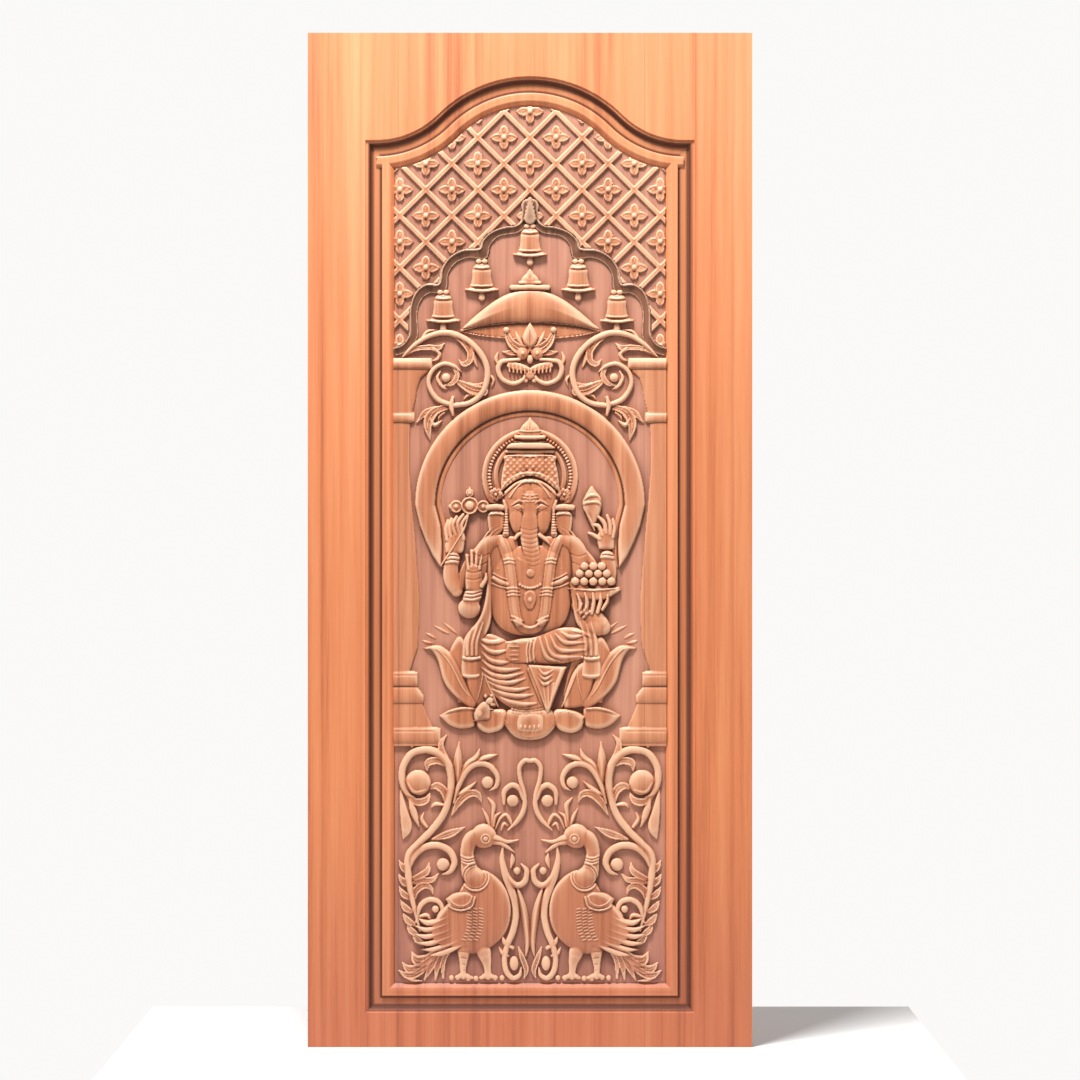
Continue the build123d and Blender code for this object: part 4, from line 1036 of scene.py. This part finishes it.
deity.plate(mirrored([(-51, 1238), (0, 1237)]) + mirrored([(47, 1246), (34, 1252), (0, 1253)]), 4.6, 8.2, 7)
deity.stem([(-32, 1254), (0, 1253), (32, 1254)], 2.2, 1.0, 7.6)
deity.stem([(-29, 1263), (0, 1262), (29, 1263)], [5.0, 5.6, 5.0], 4.2, 7.2)
deity.stem([(-25, 1270), (0, 1269.5), (25, 1270)], [2.0, 2.2, 2.0], 1.6, 7.0)
deity.stem([(0, 1271), (0, 1280), (0, 1292), (0, 1304)], [23, 17, 8, 0.8], 5.4, 3.6)
deity.mark([(-21, 1276), (0, 1275), (21, 1276)], 1.7, 1.4, 0.3)
for k in range(6):
    deity.mark([(-15 + 6 * k, 1279), (-13.5 + 5.4 * k, 1287)], 1.3, 0.9, 0.2)
# The head: the face, a brow band with beaded edges, cheeks, and the trunk turned to the left.
deity.plate(mirrored([(-54, 1150), (-52, 1125), (-47, 1104), (-43, 1086), (-35, 1068), (-20, 1056),
                      (0, 1054)]) + mirrored([(30, 1170), (0, 1178)]), 4.4, 4.2, 22)
deity.mark(mirrored([(-58, 1146), (-45, 1161), (-28, 1174), (-10, 1180), (0, 1181)]),
           [7, 9, 9.5, 9.5, 10, 9.5, 9.5, 9, 7], 0.6, 1.8, "flat")
both_sides("mark", [(42, 1138), (30, 1156), (18, 1167), (8, 1170), (0, 1170.5)], 1.9, 1.8, 0.4)
both_sides("mark", [(62, 1153), (46, 1173), (30, 1184), (12, 1189), (6, 1188)], 1.6, 1.4, 0.4)
both_sides("score", [(44, 1148), (30, 1163), (14, 1173), (0, 1175)], 1.3, 1.1)
deity.dome(0, 1188, 8, 7, 1.6, 0.5, on=True)
deity.dome(0, 1204, 12, 11, 1.0, 0.1, on=True)
for side in (-1, 1):
    deity.dome(side * 29, 1089, 15, 22, 1.6, 0.1, on=True)
    deity.dome(side * 22, 1146, 20, 13, 1.0, 0.1, on=True)
deity.dome(0, 1122, 17, 30, 3.2, 0.1, on=True)
deity.stem([(0, 1116), (0, 1104), (-1, 1086), (-2, 1060), (2, 1030), (8, 1004), (12, 984), (8, 968),
            (-4, 964), (-10, 972)], [10, 15, 19, 20, 19, 17.5, 14, 10, 7.5, 4], 3.6, 8.8)
# Brows and eyes, the grooves of the trunk, the marks on the forehead, the tusks and the trunk's tip.
both_sides("mark", [(11, 1126), (23, 1131), (38, 1122)], [1.5, 3.2, 1.4], 1.7, 0.2)
for side in (-1, 1):
    deity.dome(side * 25, 1117, 9.5, 5.2, 1.5, 0.3, on=True)
both_sides("mark", [(14, 1115), (24, 1122.5), (36, 1118)], 1.3, 1.0, 0.3)
both_sides("mark", [(15, 1113), (25, 1109.5), (35, 1113)], 1.1, 0.8, 0.2)
both_sides("score", [(14, 1127), (24, 1127), (37, 1118)], 1.5, 1.0)
for k in range(9):
    z = 1072 - 9.4 * k
    m = 0 if z > 1050 else (1050 - z) * 0.14
    w = 19 - 0.045 * (1072 - z)
    deity.score([(m - w - 2, z + 3), (m, z - 2), (m + w - 2, z + 3)], 1.6, 0.9)
for z in (1143.5, 1137, 1130.5):
    both_sides("mark", [(3, z - 1), (16, z + 0.5)], [1.6, 1.1], 0.9, 0.3)
deity.dome(0, 1137, 2.2, 11, 0.8, 0.3, on=True)
deity.stem([(-18, 1064), (-25, 1060), (-31, 1052)], [5, 5.5, 4.5], 3, 9.0)
deity.stem([(20, 1060), (34, 1049), (48, 1032)], [6, 5, 1.2], 3, 9.0)
deity.dome(1, 981, 11.5, 11.5, 2.2, 11.0)
deity.plate([(-32, 1020), (-8, 1008), (-2, 1000), (-8, 990), (-18, 984), (-24, 998)], 2.4, 9.0, 6)

# The body: a round belly under two garland straps with bands, a pendant and a beaded belt.
deity.plate(mirrored([(-62, 1030), (-84, 985), (-87, 940), (-80, 896), (-62, 868), (-34, 854), (0, 850)])
            + [(0, 1040)], 7.4, 3.6, 46)
deity.score([(-2, 905), (2, 905)], 3.4, 1.8)
# The two garland straps with their bands.
STRAP = [(61, 1054), (51, 1030), (43, 1000), (38, 960), (34, 925), (30, 896), (24, 880)]
both_sides("mark", STRAP, [10, 11.5, 11, 11, 11, 10.5, 9], 0.5, 1.5, "flat")
both_sides("mark", STRAP, 5.5, 1.2, 0.1)
for z, x0, x1 in ((1010, 33, 54), (1003, 32, 53), (950, 24, 47), (943, 23, 47), (936, 22, 46)):
    both_sides("mark", [(x0, z - 1), ((x0 + x1) / 2, z + 1), (x1, z - 1)], 2.2, 1.1, 0.3)
for z in (888, 880):
    both_sides("mark", [(38, z + 4), (27, z), (15, z - 6)], 2.2, 1.2, 0.3)
both_sides("mark", [(47, 958), (62, 963), (76, 971)], [3.5, 5, 4], 1.8, 0.5)
both_sides("mark", [(48, 968), (62, 973), (76, 981)], 1.6, 1.2, 0.3)
both_sides("mark", [(46, 950), (62, 953), (80, 960)], 1.6, 1.2, 0.3)
# The belt, the necklace of beads and its pendant.
deity.mark([(-26, 880), (-16, 868), (0, 863), (16, 868), (26, 880)], [8, 8.5, 8.5, 8.5, 8], 1.2, 0.8)
deity.mark([(-22, 882), (-13, 872), (0, 868), (13, 872), (22, 882)], 2.2, 1.4, 0.2)
for k in range(9):
    t = -1 + k / 4
    deity.dome(21 * t, 950 + 7 * t * t, 3.0, 3.0, 2.0, 0.2, on=True)
deity.plate([(-11, 940), (0, 946), (11, 940), (12, 922), (0, 902), (-12, 922)], 1.2, 0.8, 5, on=True)
deity.dome(0, 926, 4.5, 6, 1.4, 0.2, on=True)

# The arms: upper arms from the shoulders, the back pair raised with a disc and a shell, the front
# pair low with an open palm and a bowl of sweets, bangles at each wrist.
def fingers(lift, *rows, thick=1.2):
    """Bent fingers: each row is a finger's three points and its half width."""
    for base, knuckle, tip, w in rows:
        deity.stem([base, knuckle, tip], [w * thick, w * thick, w * 0.8], 4.6, lift)


# The lower arm at the left, its open palm raised.
deity.stem([(-62, 1048), (-84, 1042), (-100, 1018), (-106, 985), (-112, 950), (-122, 915)],
           [14, 17, 19, 18, 17, 16], 6, 3.6)
deity.dome(-126, 908, 24, 22, 7.5, 3.6)
deity.stem([(-124, 912), (-122, 930), (-118, 944)], [20, 17, 15], 5.5, 5.0)
for z in (930, 938, 945):
    deity.mark([(-136, z - 3), (-118, z - 4), (-101, z + 1)], 2.6, 1.6, 0.3)
deity.plate([(-135, 946), (-136, 966), (-134, 990), (-124, 1000), (-106, 998), (-98, 984), (-98, 952),
             (-110, 942)], 3.0, 8.4, 12)
for base, tip, w in (((-128, 990), (-131, 1018), 4.6), ((-120, 994), (-121, 1027), 4.8),
                     ((-112, 994), (-110, 1026), 4.8), ((-105, 990), (-100, 1017), 4.4)):
    deity.stem([base, tip], [w * 1.2, w * 0.85], 4.2, 8.0)
deity.stem([(-100, 955), (-92, 968), (-91, 980)], [7, 6, 3.5], 4, 8.6)
for z in (985, 970):
    deity.score([(-132, z), (-116, z - 3), (-101, z + 2)], 1.6, 1.3)
# The upper arm at the left, which holds a staff with a disc.
deity.stem([(-70, 1046), (-96, 1030), (-124, 1000), (-140, 965), (-152, 945)], [12, 15, 14, 12, 10], 4.5, 3.0)
deity.stem([(-152, 944), (-162, 965), (-164, 990), (-160, 1012)], [13, 17, 16, 15], 5.5, 3.5)
for z in (1005, 1013, 1021):
    deity.mark([(-177, z - 2), (-160, z), (-142, z - 2)], 2.8, 1.7, 0.4)
deity.plate([(-176, 1022), (-177, 1042), (-168, 1058), (-150, 1066), (-136, 1060), (-135, 1040),
             (-142, 1022)], 3.4, 5.5, 11)
fingers(5.0, ((-172, 1050), (-174, 1072), (-170, 1090), 4.4), ((-164, 1056), (-167, 1076), (-163, 1093), 4.6),
        ((-154, 1060), (-160, 1080), (-152, 1098), 4.8), ((-145, 1060), (-150, 1084), (-138, 1103), 4.8),
        ((-138, 1052), (-142, 1080), (-128, 1104), 4.4))
deity.stem([(-186, 994), (-165, 1026), (-150, 1050), (-137, 1072), (-128, 1100)], [2.4, 3.6, 3.6, 3.6, 3],
           2.6, 8.0)
deity.dome(-125, 1121, 19, 19, 2.0, 5.0)
deity.hoop(-125, 1121, 16.0, 3.0, 2.8, 6.5)
deity.dome(-125, 1121, 10.5, 10.5, 5.5, 6.0)
for x, z, outer, ring in ((-153, 1119, 14, 11), (-97, 1119, 14, 11), (-125, 1147, 9, 6.5)):
    deity.dome(x, z, outer, outer, 2.0, 4.5)
    deity.hoop(x, z, ring, 2.6, 2.4, 5.6)
    deity.dome(x, z, 5.5, 5.5, 3.6, 5.6)
for x in (-165, -86):
    deity.dome(x, 1119, 4.5, 5.5, 3, 4.5)
deity.stem([(-125, 1150), (-125, 1160)], [5, 1], 3, 4.5)
# The lower arm at the right.
deity.stem([(66, 1048), (88, 1042), (102, 1018), (104, 985), (106, 950), (122, 905)],
           [14, 17, 19, 18, 16, 18], 6, 3.6)
deity.stem([(152, 868), (138, 880), (120, 898), (100, 914)], [16, 22, 21, 15], 7.0, 3.6)
deity.dome(136, 872, 26, 23, 7.5, 3.6)
both_sides("score", [(84, 1022), (100, 1016), (118, 1022)], 1.5, 1.2)
both_sides("score", [(88, 1004), (104, 998), (121, 1004)], 1.5, 1.2)
# The upper arm at the right, which holds a shell.
deity.stem([(70, 1046), (96, 1030), (124, 1000), (140, 968)], [12, 15, 14, 12], 4.5, 3.0)
deity.stem([(146, 950), (160, 968), (164, 992), (160, 1014)], [13, 17, 16, 15], 5.5, 3.5)
for z in (1013, 1021, 1029):
    deity.mark([(141, z), (158, z + 2), (176, z - 1)], 2.8, 1.7, 0.4)
deity.plate([(142, 1030), (138, 1052), (144, 1070), (160, 1074), (174, 1062), (176, 1042), (172, 1030)], 3.4,
            5.5, 11)
fingers(5.5, ((150, 1060), (142, 1078), (128, 1082), 4.4), ((158, 1064), (154, 1084), (142, 1098), 4.6),
        ((166, 1062), (166, 1082), (160, 1100), 4.6), ((172, 1056), (175, 1074), (172, 1092), 4.2),
        ((144, 1052), (132, 1060), (122, 1064), 4.2))
deity.plate([(108, 1130), (110, 1112), (122, 1096), (132, 1080), (142, 1096), (149, 1118), (148, 1136),
             (138, 1150), (128, 1162), (118, 1150)], 5.0, 5.0, 15)
deity.mark([(112, 1134), (124, 1142), (140, 1142), (148, 1132)], [2, 3, 3, 2], 1.8, 0.4)
deity.mark([(110, 1124), (122, 1128), (140, 1128), (149, 1120)], [2, 2.6, 2.6, 2], 1.6, 0.4)
deity.stem([(114, 1112), (126, 1090), (134, 1070)], [3, 5, 3], 2.2, 9.0, "leaf")
# The bowl of sweets and the fingers under it.
deity.plate([(80, 950), (184, 950), (172, 934), (150, 924), (116, 924), (94, 934)], 3.4, 7.0, 9)
deity.stem([(80, 949), (132, 946), (184, 950)], [3.0, 4.4, 3.0], 2.6, 9.6)
for z, xs in ((964, (94, 112, 131, 150, 168)), (980, (103, 122, 141, 159)), (995, (113, 131, 149))):
    for x in xs:
        deity.dome(x, z, 10.6, 10.2, 6.4, 7.2)
fingers(8.6, ((104, 900), (104, 920), (98, 938), 5.0), ((116, 898), (118, 922), (114, 940), 5.2),
        ((128, 898), (132, 922), (130, 940), 5.2), ((140, 900), (146, 922), (146, 938), 5.0),
        ((150, 906), (160, 922), (161, 936), 4.4), thick=1.15)
for k in range(3):
    deity.mark([(92 + 5 * k, 898 - 8 * k), (102 + 7 * k, 906 - 6 * k), (108 + 8 * k, 918 - 8 * k)], 2.6, 1.6,
               0.4)

# The legs and cloth: the folded leg with its foot across the lap, the other knee at the right, folds
# running down to the ankle, a pleated front cloth, and a sash whose ends hang over the petals.
deity.plate([(-112, 842), (-122, 812), (-112, 780), (-92, 745), (-62, 716), (-38, 700), (-20, 690), (24, 690),
             (34, 706), (30, 760), (10, 800), (-40, 836), (-84, 856)], 5.6, 4.2, 26)
deity.plate([(-50, 838), (-20, 846), (10, 850), (60, 868), (108, 866), (134, 848), (136, 826), (112, 804),
             (60, 792), (16, 792), (-30, 796), (-52, 808)], 6.0, 4.8, 24)
# The folds of the cloth over the left leg and over the knee at the right.
LEG_FOLDS = (
    ((-110, 852), (-94, 841), (-76, 838), (-58, 842), (-46, 850)),
    ((-102, 836), (-86, 821), (-68, 817), (-46, 822)),
    ((-100, 818), (-82, 801), (-62, 796), (-44, 797)),
    ((-101, 802), (-78, 785), (-50, 780), (-20, 784)),
    ((-101, 786), (-76, 770), (-48, 766), (-14, 775)),
    ((-97, 771), (-70, 757), (-40, 754), (-10, 763)),
    ((-90, 758), (-60, 744), (-30, 739), (-2, 744)),
    ((-80, 741), (-50, 730), (-20, 726), (6, 730)),
    ((-62, 724), (-40, 714), (-12, 709), (14, 712)),
)
for points in LEG_FOLDS:
    deity.mark(points, [1.4] + [4.6] * (len(points) - 2) + [1.8], 2.2, 0.2)
KNEE_FOLDS = (
    ((64, 860), (84, 849), (110, 852)),
    ((52, 856), (74, 837), (112, 838)),
    ((42, 852), (62, 822), (114, 822)),
    ((31, 850), (50, 810), (108, 808)),
    ((20, 848), (34, 808), (62, 798)),
    ((88, 862), (112, 858), (130, 848)),
)
for points in KNEE_FOLDS:
    deity.mark(points, [1.4, 4.6, 1.8], 2.0, 0.2)
# The foot across the lap with its toes and the cloth round it.
deity.plate([(-50, 838), (-52, 806), (-36, 794), (0, 794), (14, 806), (12, 838), (-16, 846)], 2.0, 9.4, 9)
for k in range(5):
    deity.stem([(-22 - k * 0.5, 837.5 - 8.8 * k), (-34, 838 - 8.9 * k), (-47 + k * 0.8, 837 - 8.6 * k)],
               [3.6, 3.9, 3.2], 2.8, 10.6)
for x in (-5, 1, 9):
    deity.mark([(x + 2, 843), (x - 2, 820), (x, 797)], 2.2, 1.6, 0.3)
# The pleated front cloth.
deity.plate([(-8, 794), (78, 788), (62, 748), (36, 680), (14, 740)], 1.4, 10.4, 5, smooth=False)
deity.mark([(0, 782), (16, 742), (32, 696)], [5.5, 6.0, 3.0], 1.6, 0.5, "lean")
deity.mark([(68, 780), (55, 742), (40, 690)], [5.0, 5.5, 2.4], 1.6, 0.4)
for z in (780, 770, 759):
    deity.mark([(18, z + 4), (30, z - 8), (48, z + 1)], [1, 3.4, 1], 1.8, 0.2)
for x in (30, 38, 46):
    deity.mark([(x + (x - 38) * 0.4, 752), (38 + (x - 38) * 0.4, 700)], [2.6, 1.4], 1.2, 0.2)
# Anklets.
for z in (704, 697, 690):
    deity.stem([(-38, z + 3), (-8, z - 2), (26, z + 3)], 2.9, 2.4, 8.6)
# The foot on the cushion, with its toes and nails.
deity.plate([(-26, 690), (-30, 668), (-22, 652), (22, 652), (30, 668), (24, 690)], 3.6, 8.0, 14)
for k in range(5):
    deity.dome(-19 + 9.3 * k, 661 + 0.5 * abs(k - 2), 4.9, 13, 3.2, 11.2)
    deity.dome(-19 + 9.3 * k, 653, 2.6, 3.0, 0.7, 0.2, on=True)
# The sash: two ends that hang over the petals, with folds and bands.
deity.plate([(-88, 1022), (-92, 940), (-106, 888), (-136, 848), (-142, 806), (-140, 766), (-104, 766),
             (-104, 806), (-96, 840), (-80, 880), (-78, 940), (-80, 1010)], 2.2, 6.8, 6)
deity.plate([(80, 965), (86, 920), (94, 880), (112, 850), (110, 806), (108, 766), (146, 766), (146, 812),
             (140, 850), (124, 872), (106, 900), (94, 962)], 2.2, 7.2, 6)
for x, run in ((-130, 14), (-120, 14), (-111, 14), (116, -12), (127, -12), (138, -12)):
    deity.mark([(x + run, 880), (x + run * 0.1, 840), (x, 812)], [1.2, 3.6, 3.4], 1.8, 0.2)
for left, right in ((-141, -104), (108, 146)):
    deity.mark([(left, 806), ((left + right) / 2, 803), (right, 806)], 3.0, 2.2, 0.5)
    deity.mark([(left + 1, 769), ((left + right) / 2, 767), (right - 1, 769)], 2.6, 1.4, 0.3)
deity.carve("seated_figure", CARVED_WOOD, ("middle_board",), shade_reach=8.0)


# The ground: the flat bottom of the sunk panel, left with faint tool marks, with painted shade close
# beside the carving.
ground = Relief(-283.5, 283.5, 129, 1956, 4.3)
ground.h[:] = 0.25
ground.h[[0, -1], :] = SUNK
ground.h[:, [0, -1]] = SUNK
shape = np.zeros_like(ground.h)
for xs, zs, heights in carved:
    i0, i1 = np.searchsorted(ground.x, (xs[0], xs[-1]))
    k0, k1 = np.searchsorted(ground.z, (zs[0], zs[-1]))
    pick_x = np.clip(np.round((ground.x[i0:i1] - xs[0]) / (xs[1] - xs[0])).astype(int), 0, len(xs) - 1)
    pick_z = np.clip(np.round((ground.z[k0:k1] - zs[0]) / (zs[1] - zs[0])).astype(int), 0, len(zs) - 1)
    shape[k0:k1, i0:i1] = np.maximum(shape[k0:k1, i0:i1], heights[np.ix_(pick_z, pick_x)])
GROUND_WOOD = timber("ground_wood", tint(162, 102, 80), tint(200, 135, 109), tint(222, 158, 130),
                     tint(92, 52, 38), 0.2, 0.5)
# Painted shade on the ground, darker where the carving beside it stands high and near.
painted_shade_beside_carving = np.clip(soften(shape, 3) / 9.0, 0, 0.8)
ground.carve("ground", GROUND_WOOD, BOARDS, shadow=painted_shade_beside_carving)
